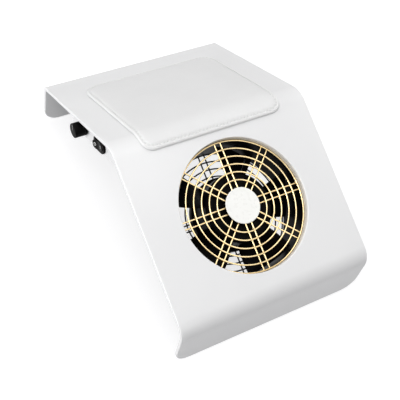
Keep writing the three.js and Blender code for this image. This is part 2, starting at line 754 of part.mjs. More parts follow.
function impeller() {
  const roof = HUB_START + HUB_WALL;
  const bore = SHAFT_RADIUS + GAP;
  const hub = turned([
    [0, -HUB_START], [HUB_RADIUS - HUB_CHAMFER, -HUB_START], [HUB_RADIUS, -HUB_START - HUB_CHAMFER],
    [HUB_RADIUS, -hubBottom], [HUB_RADIUS - HUB_WALL, -hubBottom], [HUB_RADIUS - HUB_WALL, -roof],
    [HUB_BOSS_RADIUS, -roof], [HUB_BOSS_RADIUS, -hubBossEnd], [bore, -hubBossEnd], [bore, -roof], [0, -roof],
  ]);
  return join(hub, ...turnedCopies(blade(), BLADE_COUNT, BLADE_REST_ANGLE));
}

function magnetRing() {
  const outer = HUB_RADIUS - HUB_WALL - GAP;
  return ring(outer, outer - MAGNET_THICKNESS, MAGNET_LENGTH)
    .translate(0, 0, -HUB_START - HUB_WALL - GAP - MAGNET_LENGTH);
}

function fanShaft() {
  const start = HUB_START + HUB_WALL + GAP;
  const end = tubeEnd;
  return bar(SHAFT_RADIUS, end - start, SMALL_SIDES).translate(0, 0, -end);
}

function bearing(start) {
  return ring(BEARING_RADIUS, SHAFT_RADIUS + GAP, BEARING_LENGTH, SMALL_SIDES)
    .translate(0, 0, -start - BEARING_LENGTH);
}

function shaftClip() {
  return ring(CLIP_RADIUS, SHAFT_RADIUS + GAP, CLIP_THICKNESS, SMALL_SIDES)
    .translate(0, 0, -tubeEnd + GAP);
}

function bearingTube() {
  return ring(tubeOuter, tubeInner, tubeEnd - tubeStart, SMALL_SIDES).translate(0, 0, -tubeEnd);
}

// Four poles on arms round a yoke.
function statorCore() {
  const half = POLE_WIDTH / 2;
  const cross = join(
    block([-POLE_RADIUS, -half, 0], [POLE_RADIUS, half, CORE_LENGTH]),
    block([-half, -POLE_RADIUS, 0], [half, POLE_RADIUS, CORE_LENGTH]));
  const shoes = common(ring(POLE_RADIUS, POLE_RADIUS - POLE_SHOE, CORE_LENGTH), cross);
  const arm = block(
    [YOKE_RADIUS - ARM_WIDTH / 2, -ARM_WIDTH / 2, 0], [POLE_RADIUS - POLE_SHOE / 2, ARM_WIDTH / 2, CORE_LENGTH]);
  const yoke = ring(YOKE_RADIUS, tubeOuter + GAP, CORE_LENGTH, SMALL_SIDES);
  return join(yoke, shoes, ...turnedCopies(arm, POLE_COUNT)).translate(0, 0, -CORE_START - CORE_LENGTH);
}

// Four coils, joined by the link wire that runs round behind the core.
function statorWindings() {
  const inner = ARM_WIDTH / 2 + GAP;
  const outer = inner + COIL_BUILD;
  const room = (POLE_RADIUS - POLE_SHOE) * Math.cos(Math.PI / ROUND_SIDES) - GAP;
  const [near, far] = [YOKE_RADIUS + GAP, Math.sqrt(room * room - outer * outer)];
  const [low, high] = [-CORE_START - CORE_LENGTH, -CORE_START];
  const coil = cut(
    block([near, -outer, low - GAP - COIL_BUILD], [far, outer, high + GAP + COIL_BUILD]),
    block([near - OVERRUN, -inner, low - GAP], [far + OVERRUN, inner, high + GAP]));
  const link = ring(near + 2 * LINK_WIRE, near + LINK_WIRE, LINK_WIRE).translate(0, 0, low - GAP - LINK_WIRE);
  return join(link, ...turnedCopies(coil, POLE_COUNT));
}

function motorBoard() {
  const top = CORE_START + CORE_LENGTH + COIL_BUILD + 2 * GAP;
  return ring(MOTOR_BOARD_RADIUS, tubeOuter + GAP, MOTOR_BOARD_THICKNESS)
    .translate(0, 0, -top - MOTOR_BOARD_THICKNESS);
}

// Fixing of the fan, with z = 0 on the outer face of the slope

function atStuds(geometry) {
  return atCorners(geometry, holePitch / 2, holePitch / 2, [0, 0, 0]);
}

function fanGasket() {
  const side = fanSide + 2 * GASKET_OVERHANG;
  const thickness = fanFace - 2 * GAP - SHEET;
  const body = slab(roundedRectangle(side, side, GASKET_CORNER), thickness, CORNER_STEPS)
    .translate(0, 0, GAP - fanFace);
  const hole = bar(OPENING_RADIUS, thickness + 2 * OVERRUN, FAN_SIDES)
    .translate(0, 0, -fanFace - OVERRUN);
  const eyes = atCorners(
    bar(STUD_FOOT_RADIUS + 2 * GAP, thickness + 2 * OVERRUN, SMALL_SIDES), holePitch / 2,
    holePitch / 2, [0, 0, -fanFace - OVERRUN]);
  const half = SPOKE_SPREAD / 2 + WIRE_RADIUS + GAP;
  const grooveTop = -GUARD_DEPTH - layerStep + WIRE_RADIUS + GAP;
  const groove = block([OPENING_RADIUS / 2, -half, -fanFace - OVERRUN], [studRadius, half, grooveTop]);
  return cut(body, hole, ...eyes, ...turnedCopies(groove, 4, Math.PI / 4));
}

function fanStuds() {
  const footTop = SHEET + GAP;
  const foot = bar(STUD_FOOT_RADIUS, STUD_FOOT_THICKNESS, SMALL_SIDES)
    .translate(0, 0, -footTop - STUD_FOOT_THICKNESS);
  const rod = bar(STUD_RADIUS, studEnd - footTop - STUD_FOOT_THICKNESS / 2, SMALL_SIDES)
    .translate(0, 0, -studEnd);
  return atStuds(join(foot, rod));
}

function studNuts() {
  const nut = cut(
    join(bar(NUT_FLANGE_RADIUS, NUT_FLANGE_THICKNESS, SMALL_SIDES),
      bar(NUT_RADIUS, NUT_THICKNESS, 6).translate(0, 0, NUT_FLANGE_THICKNESS - NUT_THICKNESS)),
    bar(STUD_RADIUS + GAP, 4 * NUT_THICKNESS, SMALL_SIDES).translate(0, 0, -2 * NUT_THICKNESS));
  return atStuds(nut.translate(0, 0, -nutTop - NUT_FLANGE_THICKNESS));
}

// Control box, in the frame of the rear plate

// A point given down the slope and in from its face, as [y, z] in the rear plate's frame.
function fromSlope(down, depth) {
  const [cosine, sine] = [Math.cos(ridgeTurn), Math.sin(ridgeTurn)];
  return [depth * sine - down * cosine, -down * sine - depth * cosine];
}

// Side view of the tray, drawn in by wall on its rear, floor and front sides.
function traySide(wall, front) {
  const rear = TRAY_REAR - wall;
  const low = wall - TRAY_DEPTH;
  const radius = TRAY_REAR_CORNER - wall;
  const corner = [];
  for (let step = 0; step <= BEND_STEPS; step += 1) {
    const angle = Math.PI / 2 * step / BEND_STEPS;
    corner.push([rear - radius * (1 - Math.cos(angle)), low + radius * (1 - Math.sin(angle))]);
  }
  return [[rear, OVERRUN], ...corner, ...front];
}

function controlTray() {
  const outer = traySide(0, [
    [TRAY_KNEE, -TRAY_DEPTH], fromSlope(TRAY_TOE_DOWN, TRAY_TOE_DEPTH), fromSlope(TRAY_NOSE_DOWN, 0),
    fromSlope(TRAY_NOSE_DOWN, -2 * OVERRUN), [0, OVERRUN],
  ]);
  const room = traySide(TRAY_WALL, [[TRAY_FRONT + TRAY_WALL, -trayFloor], [TRAY_FRONT + TRAY_WALL, OVERRUN]]);
  const inside = trayHalf - TRAY_WALL;
  const frontRoom = block([-inside, -TRAY_REAR, -2 * TRAY_DEPTH], [inside, TRAY_FRONT, OVERRUN]);
  const underShell = across(sectionPath(SHEET + GAP), SHELL_WIDTH).applyMatrix4(restFrame.clone().invert());
  const walls = cut(across(outer, 2 * trayHalf), across(room, 2 * inside), frontRoom);
  const standoffs = atBoardHoles(
    cut(bar(STANDOFF_RADIUS, STANDOFF_HEIGHT + TRAY_WALL / 2, SMALL_SIDES),
      bar(BOARD_SCREW_RADIUS + GAP, 2 * STANDOFF_HEIGHT, SMALL_SIDES).translate(0, 0, TRAY_WALL / 2)),
    -trayFloor - TRAY_WALL / 2);
  const screwHoles = atBosses(bar(SCREW_RADIUS + GAP, 2 * OVERRUN, SMALL_SIDES), -TRAY_DEPTH - OVERRUN);
  const knobHole = barAlongX(BUSHING_RADIUS + GAP, 2 * OVERRUN, SMALL_SIDES)
    .translate(-trayHalf - OVERRUN, KNOB_BACK, -KNOB_DEPTH);
  const bodyOutline = roundedRectangle(
    SWITCH_BODY_LENGTH + 2 * GAP, SWITCH_BODY_WIDTH + 2 * GAP, SWITCH_BODY_WIDTH / 2);
  const switchHole = slabToLeft(bodyOutline, 2 * OVERRUN)
    .translate(-trayHalf + OVERRUN, SWITCH_BACK, -SWITCH_SEAT_DEPTH);
  const inletHole = barAlongX(INLET_BODY_RADIUS + GAP, 2 * OVERRUN, SMALL_SIDES)
    .translate(trayHalf - OVERRUN, INLET_BACK, -INLET_SEAT_DEPTH);
  const leadHole = bar(FAN_LEAD_RADIUS + GAP + GROMMET_BODY + GAP, 2 * OVERRUN, SMALL_SIDES)
    .rotateX(-Math.PI / 2).translate(FAN_LEAD_RIGHT, TRAY_FRONT - OVERRUN, -FAN_LEAD_HOLE_DEPTH);
  const fitted = common(join(walls, ...standoffs), underShell);
  return cut(fitted, ...screwHoles, knobHole, switchHole, inletHole, leadHole);
}

function atBosses(geometry, height) {
  const halfWidth = trayHalf - BOSS_INSET;
  const halfLength = (TRAY_REAR - TRAY_FRONT) / 2 - BOSS_INSET - TRAY_WALL;
  return atCorners(geometry, halfWidth, halfLength, [0, trayMiddle, height]);
}

function trayBosses() {
  const length = trayFloor - GAP - trayTop;
  const boss = cut(
    bar(BOSS_RADIUS, length, SMALL_SIDES),
    bar(SCREW_RADIUS + GAP, 2 * BOSS_BORE_DEPTH, SMALL_SIDES).translate(0, 0, -BOSS_BORE_DEPTH));
  return atBosses(boss, GAP - trayFloor);
}

function trayScrews() {
  const shank = bar(SCREW_RADIUS, SCREW_LENGTH + SCREW_HEAD_HEIGHT, SMALL_SIDES);
  const screw = join(shank, bar(SCREW_HEAD_RADIUS, SCREW_HEAD_HEIGHT, SMALL_SIDES));
  return atBosses(screw, -TRAY_DEPTH - GAP - SCREW_HEAD_HEIGHT);
}

// Speed control

function onLeftWall(geometry, back, depth) {
  return geometry.translate(0, back, -depth);
}

function potentiometer() {
  const inside = trayHalf - TRAY_WALL - GAP;
  const bodyRoom = POT_SHAFT_TAIL + GAP;
  const body = barAlongX(POT_RADIUS, POT_LENGTH).translate(-inside, 0, 0);
  const bushing = barAlongX(BUSHING_RADIUS, BUSHING_LENGTH + OVERRUN).translate(-inside - BUSHING_LENGTH, 0, 0);
  const bore = barAlongX(POT_SHAFT_RADIUS + GAP, BUSHING_LENGTH + bodyRoom + OVERRUN)
    .translate(-inside - BUSHING_LENGTH - OVERRUN, 0, 0);
  const tagFoot = POT_RADIUS / 2;
  const tags = [-1, 0, 1].map((step) => block(
    [-inside + POT_LENGTH - TAG_THICKNESS, step * TAG_WIDTH - TAG_WIDTH / 4, -POT_RADIUS],
    [-inside + POT_LENGTH + POT_TAG_LENGTH, step * TAG_WIDTH + TAG_WIDTH / 4, TAG_THICKNESS - POT_RADIUS],
  ).translate(0, 0, tagFoot));
  return onLeftWall(cut(join(body, bushing, ...tags), bore), KNOB_BACK, KNOB_DEPTH);
}

function potentiometerNut() {
  const nut = cut(
    barAlongX(POT_NUT_RADIUS, POT_NUT_THICKNESS, 6),
    barAlongX(BUSHING_RADIUS + GAP, 2 * OVERRUN, SMALL_SIDES).translate(-OVERRUN, 0, 0));
  return onLeftWall(nut.translate(-trayHalf - GAP - POT_NUT_THICKNESS, 0, 0), KNOB_BACK, KNOB_DEPTH);
}

function potentiometerShaft() {
  const start = knobFront - KNOB_FACE - GAP;
  const end = trayHalf - TRAY_WALL - GAP - POT_SHAFT_TAIL;
  return onLeftWall(barAlongX(POT_SHAFT_RADIUS, start - end, SMALL_SIDES).translate(-start, 0, 0),
    KNOB_BACK, KNOB_DEPTH);
}

// The knob turns about X. Its profile is drawn from the open back to the face.
function speedKnob() {
  const bore = POT_SHAFT_RADIUS + GAP;
  const recess = KNOB_RADIUS - KNOB_RECESS_WALL;
  const body = turned([
    [0, KNOB_LENGTH], [KNOB_RADIUS - KNOB_CHAMFER, KNOB_LENGTH], [KNOB_RADIUS, KNOB_LENGTH - KNOB_CHAMFER],
    [KNOB_RADIUS, 0], [recess, 0], [recess, KNOB_RECESS_DEPTH], [bore, KNOB_RECESS_DEPTH],
    [bore, KNOB_LENGTH - KNOB_FACE], [0, KNOB_LENGTH - KNOB_FACE],
  ]).rotateY(-Math.PI / 2);
  const pointer = block(
    [-KNOB_LENGTH - OVERRUN, -POINTER_WIDTH / 2, 0],
    [POINTER_DEPTH - KNOB_LENGTH, POINTER_WIDTH / 2, KNOB_RADIUS + OVERRUN]);
  return onLeftWall(cut(body, pointer).translate(-knobBack, 0, 0), KNOB_BACK, KNOB_DEPTH);
}

// Rocker switch

const pocketLength = BEZEL_LENGTH - 2 * BEZEL_BORDER;
const pocketWidth = BEZEL_WIDTH - 2 * BEZEL_BORDER;
const rockerLength = pocketLength - 2 * ROCKER_CLEARANCE - 2 * GAP;
const rockerWidth = pocketWidth - 2 * GAP;

function stadium(length, width) {
  return roundedRectangle(length, width, width / 2);
}

function switchHousing() {
  const bezel = slabToLeft(stadium(BEZEL_LENGTH, BEZEL_WIDTH), BEZEL_THICKNESS).translate(-trayHalf - GAP, 0, 0);
  const body = slabToLeft(stadium(SWITCH_BODY_LENGTH, SWITCH_BODY_WIDTH), SWITCH_BODY_DEPTH + GAP)
    .translate(SWITCH_BODY_DEPTH - trayHalf, 0, 0);
  const pocketDepth = ROCKER_PIVOT_DEPTH + ROCKER_KEEL + 2 * ROCKER_CLEARANCE;
  const pocket = slabToLeft(stadium(pocketLength, pocketWidth), pocketDepth + OVERRUN)
    .translate(pocketDepth - bezelFace, 0, 0);
  const pinHoles = bar(ROCKER_PIN_RADIUS + GAP, rockerWidth + 2 * ROCKER_PIN_LENGTH + 2 * GAP, SMALL_SIDES)
    .translate(ROCKER_PIVOT_DEPTH - bezelFace, 0, -rockerWidth / 2 - ROCKER_PIN_LENGTH - GAP);
  return onLeftWall(cut(join(bezel, body), pocket, pinHoles), SWITCH_BACK, SWITCH_SEAT_DEPTH);
}

// The rocker turns on two pins at its sides. Upright, its two top faces rise from the middle to both ends.
function switchRocker() {
  const half = rockerLength / 2;
  const rise = half * Math.tan(ROCKER_ANGLE);
  const top = ROCKER_PIVOT_DEPTH + ROCKER_PROUD;
  const keel = ROCKER_KEEL_WIDTH / 2;
  const profile = [
    [0, top], [half, top + rise], [half, top + rise - ROCKER_SIDE], [keel, -ROCKER_KEEL], [-keel, -ROCKER_KEEL],
    [-half, top + rise - ROCKER_SIDE], [-half, top + rise],
  ].map(([along, out]) => new THREE.Vector2(along, out));
  const cross = slab(new THREE.Shape(profile), rockerWidth).translate(0, 0, -rockerWidth / 2);
  const turn = new THREE.Matrix4().makeBasis(
    new THREE.Vector3(0, 1, 0), new THREE.Vector3(-1, 0, 0), new THREE.Vector3(0, 0, 1));
  const upright = cross.applyMatrix4(turn);
  const oval = slabToLeft(stadium(rockerLength, rockerWidth), 2 * SWITCH_BODY_DEPTH)
    .translate(SWITCH_BODY_DEPTH, 0, 0);
  const pins = bar(ROCKER_PIN_RADIUS, rockerWidth + 2 * ROCKER_PIN_LENGTH, SMALL_SIDES)
    .translate(0, 0, -rockerWidth / 2 - ROCKER_PIN_LENGTH);
  const tilted = join(common(upright, oval), pins).rotateZ(ROCKER_ANGLE);
  return onLeftWall(tilted.translate(ROCKER_PIVOT_DEPTH - bezelFace, 0, 0), SWITCH_BACK, SWITCH_SEAT_DEPTH);
}

// One blade; side is -1 for the front one and 1 for the rear one.
function switchTerminal(side) {
  const start = trayHalf - SWITCH_BODY_DEPTH - GAP;
  const blade = block(
    [-start, side * TAG_PITCH / 2 - TAG_THICKNESS / 2, -TAG_WIDTH / 2],
    [TAG_LENGTH - start, side * TAG_PITCH / 2 + TAG_THICKNESS / 2, TAG_WIDTH / 2]);
  return onLeftWall(blade, SWITCH_BACK, SWITCH_SEAT_DEPTH);
}

// Power inlet

function powerInlet() {
  const flange = barAlongX(INLET_FLANGE_RADIUS, INLET_FLANGE_THICKNESS, SMALL_SIDES)
    .translate(trayHalf + GAP, 0, 0);
  const inner = trayHalf + GAP + INLET_FLANGE_THICKNESS - INLET_BODY_LENGTH;
  const body = barAlongX(INLET_BODY_RADIUS, INLET_BODY_LENGTH, SMALL_SIDES).translate(inner, 0, 0);
  const bore = barAlongX(INLET_BORE_RADIUS, INLET_BORE_DEPTH + OVERRUN, SMALL_SIDES)
    .translate(trayHalf + GAP + INLET_FLANGE_THICKNESS - INLET_BORE_DEPTH, 0, 0);
  return onLeftWall(cut(join(flange, body), bore), INLET_BACK, INLET_SEAT_DEPTH);
}

function inletPin() {
  const floor = trayHalf + GAP + INLET_FLANGE_THICKNESS - INLET_BORE_DEPTH;
  return onLeftWall(
    barAlongX(INLET_PIN_RADIUS, INLET_BORE_DEPTH - 2 * GAP, SMALL_SIDES).translate(floor + GAP, 0, 0),
    INLET_BACK, INLET_SEAT_DEPTH);
}

function inletNut() {
  const nut = cut(
    barAlongX(INLET_NUT_RADIUS, INLET_NUT_THICKNESS, 6),
    barAlongX(INLET_BODY_RADIUS + GAP, 2 * OVERRUN, SMALL_SIDES).translate(-OVERRUN, 0, 0));
  return onLeftWall(
    nut.translate(trayHalf - TRAY_WALL - GAP - INLET_NUT_THICKNESS, 0, 0), INLET_BACK, INLET_SEAT_DEPTH);
}

// Board and what stands on it

function atBoardHoles(geometry, height) {
  return atCorners(geometry, BOARD_WIDTH / 2 - BOARD_HOLE_INSET, BOARD_LENGTH / 2 - BOARD_HOLE_INSET,
    [BOARD_RIGHT, BOARD_BACK, height]);
}

function controlBoard() {
  const low = [BOARD_RIGHT - BOARD_WIDTH / 2, BOARD_BACK - BOARD_LENGTH / 2, -boardTop - BOARD_THICKNESS];
  const high = [BOARD_RIGHT + BOARD_WIDTH / 2, BOARD_BACK + BOARD_LENGTH / 2, -boardTop];
  const holes = atBoardHoles(bar(BOARD_SCREW_RADIUS + GAP, 2 * OVERRUN, SMALL_SIDES), -boardTop - OVERRUN);
  return cut(block(low, high), ...holes);
}

// Two screws hold the board, at the left front and right rear corners.
function boardScrews() {
  const screw = join(
    bar(BOARD_SCREW_HEAD, BOARD_SCREW_HEAD_HEIGHT, SMALL_SIDES),
    bar(BOARD_SCREW_RADIUS, BOARD_SCREW_LENGTH + BOARD_SCREW_HEAD_HEIGHT / 2, SMALL_SIDES)
      .translate(0, 0, -BOARD_SCREW_LENGTH));
  const placed = atBoardHoles(screw, GAP - boardTop);
  return [placed[0], placed[3]];
}

// A place on the board as shares of its half width and half length from its middle.
function onBoard(geometry, widthShare, lengthShare) {
  return geometry.translate(
    BOARD_RIGHT + widthShare * BOARD_WIDTH / 2, BOARD_BACK + lengthShare * BOARD_LENGTH / 2, GAP - boardTop);
}

const capacitorShares = [-0.4, 0.55];
const sinkShares = [0.35, 0.6];
const chokeShares = [0.05, -0.1];
const signalConnectorShares = [-0.88, 0];
const powerConnectorShares = [0.3, -0.84];

function capacitor() {
  return onBoard(bar(CAPACITOR_RADIUS, CAPACITOR_HEIGHT, SMALL_SIDES), ...capacitorShares);
}

function heatSink() {
  const half = SINK_WIDTH / 2;
  const fins = Array.from({ length: FIN_COUNT }, (_, i) => {
    const left = -half + i * (SINK_WIDTH - FIN_THICKNESS) / (FIN_COUNT - 1);
    return block([left, -SINK_BASE / 2, 0], [left + FIN_THICKNESS, SINK_LENGTH - SINK_BASE, SINK_HEIGHT]);
  });
  return onBoard(join(block([-half, -SINK_BASE, 0], [half, 0, SINK_HEIGHT]), ...fins), ...sinkShares);
}

function powerTransistor() {
  const back = -SINK_BASE - GAP;
  const body = block(
    [-TRANSISTOR_WIDTH / 2, back - TRANSISTOR_LENGTH, 0], [TRANSISTOR_WIDTH / 2, back, TRANSISTOR_HEIGHT]);
  return onBoard(body, ...sinkShares);
}

function filterChoke() {
  return onBoard(ring(CHOKE_RADIUS, CHOKE_BORE, CHOKE_HEIGHT), ...chokeShares);
}

// A connector housing at the edge of the board, with one mouth for each lead. It is drawn with its mouths
// towards the front.
function connector(leadRadii) {
  const body = block(
    [-CONNECTOR_WIDTH / 2, -CONNECTOR_LENGTH / 2, 0],
    [CONNECTOR_WIDTH / 2, CONNECTOR_LENGTH / 2, CONNECTOR_HEIGHT]);
  const mouths = leadRadii.map((radius, i) => {
    const [middle, half] = [(2 * i - 1) * mouthShift, radius + GAP];
    return block(
      [middle - half, -CONNECTOR_LENGTH, mouthHeight - half],
      [middle + half, MOUTH_DEPTH - CONNECTOR_LENGTH / 2, mouthHeight + half]);
  });
  return cut(body, ...mouths);
}

function signalConnector() {
  return onBoard(connector([LEAD_RADIUS, LEAD_RADIUS]).rotateZ(-Math.PI / 2), ...signalConnectorShares);
}

function powerConnector() {
  return onBoard(connector([FAN_LEAD_RADIUS, LEAD_RADIUS]), ...powerConnectorShares);
}

// Leads

// The floor of a connector's mouth, where its lead ends.
function mouthPoint(connectorShares, mouth, angle) {
  const point = new THREE.Vector3(mouth, MOUTH_DEPTH - GAP - CONNECTOR_LENGTH / 2, 0);
  point.applyAxisAngle(new THREE.Vector3(0, 0, 1), angle);
  return point.add(new THREE.Vector3(
    BOARD_RIGHT + connectorShares[0] * BOARD_WIDTH / 2, BOARD_BACK + connectorShares[1] * BOARD_LENGTH / 2,
    GAP - boardTop + mouthHeight));
}

// A round lead that leaves along startWay and arrives along endWay.
function lead(radius, start, startWay, end, endWay) {
  const curve = new THREE.CatmullRomCurve3([
    start, start.clone().addScaledVector(startWay, LEAD_HANDLE),
    end.clone().addScaledVector(endWay, -MOUTH_DEPTH - LEAD_HANDLE),
    end.clone().addScaledVector(endWay, -MOUTH_DEPTH), end,
  ]);
  return wire(curve, radius, LEAD_STEPS);
}

function speedLead() {
  const start = new THREE.Vector3(
    -trayHalf + TRAY_WALL + GAP + POT_LENGTH + POT_TAG_LENGTH + GAP, KNOB_BACK,
    -KNOB_DEPTH - POT_RADIUS / 2 + TAG_THICKNESS / 2);
  return lead(LEAD_RADIUS, start, right, mouthPoint(signalConnectorShares, -mouthShift, -Math.PI / 2), right);
}

// The switch lead ends in a push-on sleeve over both blades.
function switchLead() {
  const back = -trayHalf + SWITCH_BODY_DEPTH + 2 * GAP;
  const sleeveEnd = back + TAG_LENGTH + SLEEVE_WALL;
  const half = [TAG_PITCH / 2 + TAG_THICKNESS / 2 + SLEEVE_WALL, TAG_WIDTH / 2 + SLEEVE_WALL];
  const slots = [-1, 1].map((side) => block(
    [back - OVERRUN, side * TAG_PITCH / 2 - TAG_THICKNESS / 2 - GAP, -TAG_WIDTH / 2 - GAP],
    [back + TAG_LENGTH + GAP, side * TAG_PITCH / 2 + TAG_THICKNESS / 2 + GAP, TAG_WIDTH / 2 + GAP]));
  const sleeve = cut(block([back, -half[0], -half[1]], [sleeveEnd, half[0], half[1]]), ...slots);
  const start = new THREE.Vector3(sleeveEnd - SLEEVE_WALL / 2, SWITCH_BACK, -SWITCH_SEAT_DEPTH);
  const end = mouthPoint(signalConnectorShares, mouthShift, -Math.PI / 2);
  return join(onLeftWall(sleeve, SWITCH_BACK, SWITCH_SEAT_DEPTH), lead(LEAD_RADIUS, start, right, end, right));
}

function inletLead() {
  const start = new THREE.Vector3(
    trayHalf + INLET_FLANGE_THICKNESS - INLET_BODY_LENGTH, INLET_BACK, -INLET_SEAT_DEPTH);
  const left = right.clone().negate();
  return lead(LEAD_RADIUS, start, left, mouthPoint(powerConnectorShares, mouthShift, 0), rear);
}

function leadGrommet() {
  const inner = FAN_LEAD_RADIUS + GAP;
  const body = inner + GROMMET_BODY;
  const lip = body + GROMMET_LIP;
  const neck = TRAY_WALL + 2 * GAP;
  const whole = neck + 2 * GROMMET_BODY;
  return turned([
    [inner, 0], [lip, 0], [lip, GROMMET_BODY], [body, GROMMET_BODY], [body, GROMMET_BODY + neck],
    [lip, GROMMET_BODY + neck], [lip, whole], [inner, whole], [inner, 0],
  ], SMALL_SIDES).rotateX(-Math.PI / 2)
    .translate(FAN_LEAD_RIGHT, TRAY_FRONT - GAP - GROMMET_BODY, -FAN_LEAD_HOLE_DEPTH);
}

// The fan's cable, from the barrel up to the tray's front wall, through the grommet and into its connector.
function fanLead() {
  const barrel = fanBore + FAN_BARREL_WALL;
  const reach = Math.sqrt(barrel * barrel - FAN_LEAD_RIGHT * FAN_LEAD_RIGHT) + 2 * GAP;
  const out = new THREE.Vector3(FAN_LEAD_RIGHT, reach - openingDown, -FAN_LEAD_DEPTH);
  const outNext = out.clone().add(new THREE.Vector3(0, FAN_LEAD_HANDLE, 0));
  const toRest = restFrame.clone().invert().multiply(slopeFrame);
  const end = mouthPoint(powerConnectorShares, -mouthShift, 0);
  const straight = [
    TRAY_FRONT - FAN_LEAD_HANDLE / 2, TRAY_FRONT, TRAY_FRONT + TRAY_WALL, TRAY_FRONT + TRAY_WALL + FAN_LEAD_HANDLE,
  ].map((y) => new THREE.Vector3(FAN_LEAD_RIGHT, y, -FAN_LEAD_HOLE_DEPTH));
  const points = [
    out.applyMatrix4(toRest), outNext.applyMatrix4(toRest), ...straight,
    end.clone().addScaledVector(rear, -FAN_LEAD_HANDLE), end,
  ];
  return wire(new THREE.CatmullRomCurve3(points), FAN_LEAD_RADIUS, 2 * LEAD_STEPS);
}

// Assembly

function groupAt(matrix) {
  const group = new THREE.Group();
  matrix.decompose(group.position, group.quaternion, group.scale);
  return group;
}

function fanAssembly() {
  const slope = groupAt(slopeFrame);
  const opening = new THREE.Group();
  opening.position.set(0, -openingDown, 0);
  const frontRings = [HIDDEN_RING_RADIUS, ...ringRadii];
  const inletGuard = mesh('inlet_guard', wireGuard(frontRings, -layerStep, INLET_RING_STEPS), brass);
  inletGuard.position.z = -GUARD_DEPTH;
  const disc = mesh('guard_centre_disc', centreDisc(), ivory);
  disc.position.z = WIRE_RADIUS + GAP - GUARD_DEPTH;
  const outletGuard = mesh('outlet_guard', wireGuard(ringRadii, layerStep, OUTLET_RING_STEPS), blackPaint);
  outletGuard.position.z = -outletSpokes - layerStep;
  opening.add(
    mesh('fan_gasket', fanGasket(), gaskets), inletGuard, disc, outletGuard,
    ...cornerMeshes('fan_stud', fanStuds(), steel), ...cornerMeshes('stud_nut', studNuts(), steel));
  const fan = new THREE.Group();
  fan.position.z = -fanFace;
  fan.add(
    mesh('fan_frame', fanFrame(), blackPlastic), mesh('impeller', impeller(), glossBlack),
    mesh('rotor_magnet_ring', magnetRing(), magnetGrey), mesh('fan_shaft', fanShaft(), steel),
    mesh('shaft_clip', shaftClip(), steel), mesh('bearing_tube', bearingTube(), brass),
    mesh('front_bearing', bearing(tubeStart + GAP), steel),
    mesh('rear_bearing', bearing(tubeEnd - CLIP_THICKNESS - 2 * GAP - BEARING_LENGTH), steel),
    mesh('stator_core', statorCore(), magnetGrey), mesh('stator_windings', statorWindings(), copper),
    mesh('motor_board', motorBoard(), boardGreen));
  opening.add(fan);
  slope.add(opening);
  return slope;
}

function controlAssembly() {
  const rest = groupAt(restFrame);
  rest.add(
    mesh('control_tray', controlTray(), whiteGloss), ...cornerMeshes('tray_boss', trayBosses(), whiteGloss),
    ...cornerMeshes('tray_screw', trayScrews(), steel),
    mesh('speed_potentiometer', potentiometer(), aluminium),
    mesh('potentiometer_nut', potentiometerNut(), steel),
    mesh('potentiometer_shaft', potentiometerShaft(), aluminium), mesh('speed_knob', speedKnob(), blackPlastic),
    mesh('switch_housing', switchHousing(), blackPlastic), mesh('switch_rocker', switchRocker(), glossBlack),
    mesh('switch_terminal_front', switchTerminal(-1), brass),
    mesh('switch_terminal_rear', switchTerminal(1), brass), mesh('power_inlet', powerInlet(), blackPlastic),
    mesh('inlet_pin', inletPin(), brass), mesh('inlet_nut', inletNut(), steel),
    mesh('control_board', controlBoard(), boardGreen),
    mesh('board_screw_front', boardScrews()[0], steel), mesh('board_screw_rear', boardScrews()[1], steel),
    mesh('smoothing_capacitor', capacitor(), leadGrey), mesh('heat_sink', heatSink(), aluminium),
    mesh('power_transistor', powerTransistor(), blackPlastic), mesh('filter_choke', filterChoke(), magnetGrey),
    mesh('signal_connector', signalConnector(), connectorIvory),
    mesh('power_connector', powerConnector(), connectorIvory), mesh('speed_lead', speedLead(), leadGrey),
    mesh('switch_lead', switchLead(), leadGrey), mesh('inlet_lead', inletLead(), leadGrey),
    mesh('lead_grommet', leadGrommet(), rubber), mesh('fan_lead', fanLead(), leadGrey));
  return rest;
}

const dustCollector = new THREE.Group();
dustCollector.position.set((knobFront - shellHalf) / 2, (slopeRun - restRun) / 2, 0);
dustCollector.add(
  mesh('bent_shell', bentShell(), whiteGloss), mesh('hand_pad_foam', handPadFoam(), foamGrey),
  mesh('hand_pad_cover', handPadCover(), whiteLeather), fanAssembly(), controlAssembly());

export default dustCollector;
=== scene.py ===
"""Looks of a table dust collector for manicure work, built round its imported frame.

Every piece is drawn in millimetres in the frame of what carries it. It is then placed in the row frame, in
metres.
"""

import logging
from collections.abc import Callable, Iterable, Sequence
from dataclasses import dataclass
from enum import Enum
from math import acos, atan2, cos, dist, pi, radians, sin, sqrt, tan, tau

import bmesh
import bpy
from mathutils import Matrix, Vector


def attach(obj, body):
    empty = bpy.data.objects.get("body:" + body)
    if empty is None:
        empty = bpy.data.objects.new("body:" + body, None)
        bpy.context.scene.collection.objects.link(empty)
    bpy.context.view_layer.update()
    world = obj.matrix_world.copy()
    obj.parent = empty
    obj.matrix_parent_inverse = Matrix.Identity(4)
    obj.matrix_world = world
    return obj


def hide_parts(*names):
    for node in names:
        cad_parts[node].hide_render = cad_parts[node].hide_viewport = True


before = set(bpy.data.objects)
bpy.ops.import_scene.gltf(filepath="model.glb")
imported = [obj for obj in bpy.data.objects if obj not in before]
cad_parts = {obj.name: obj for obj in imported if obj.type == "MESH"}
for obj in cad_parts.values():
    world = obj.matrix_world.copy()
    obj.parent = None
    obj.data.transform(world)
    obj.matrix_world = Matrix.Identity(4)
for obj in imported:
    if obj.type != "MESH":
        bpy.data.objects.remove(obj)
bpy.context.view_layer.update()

MILLIMETRE = 0.001
OVER = 10.0  # Reach of a cutter past what it cuts, in millimetres
GAP = 0.3  # Running clearance between pieces, in millimetres
ORIGIN = (0.0, 0.0, 0.0)
EVEN = (1.0, 1.0, 1.0)
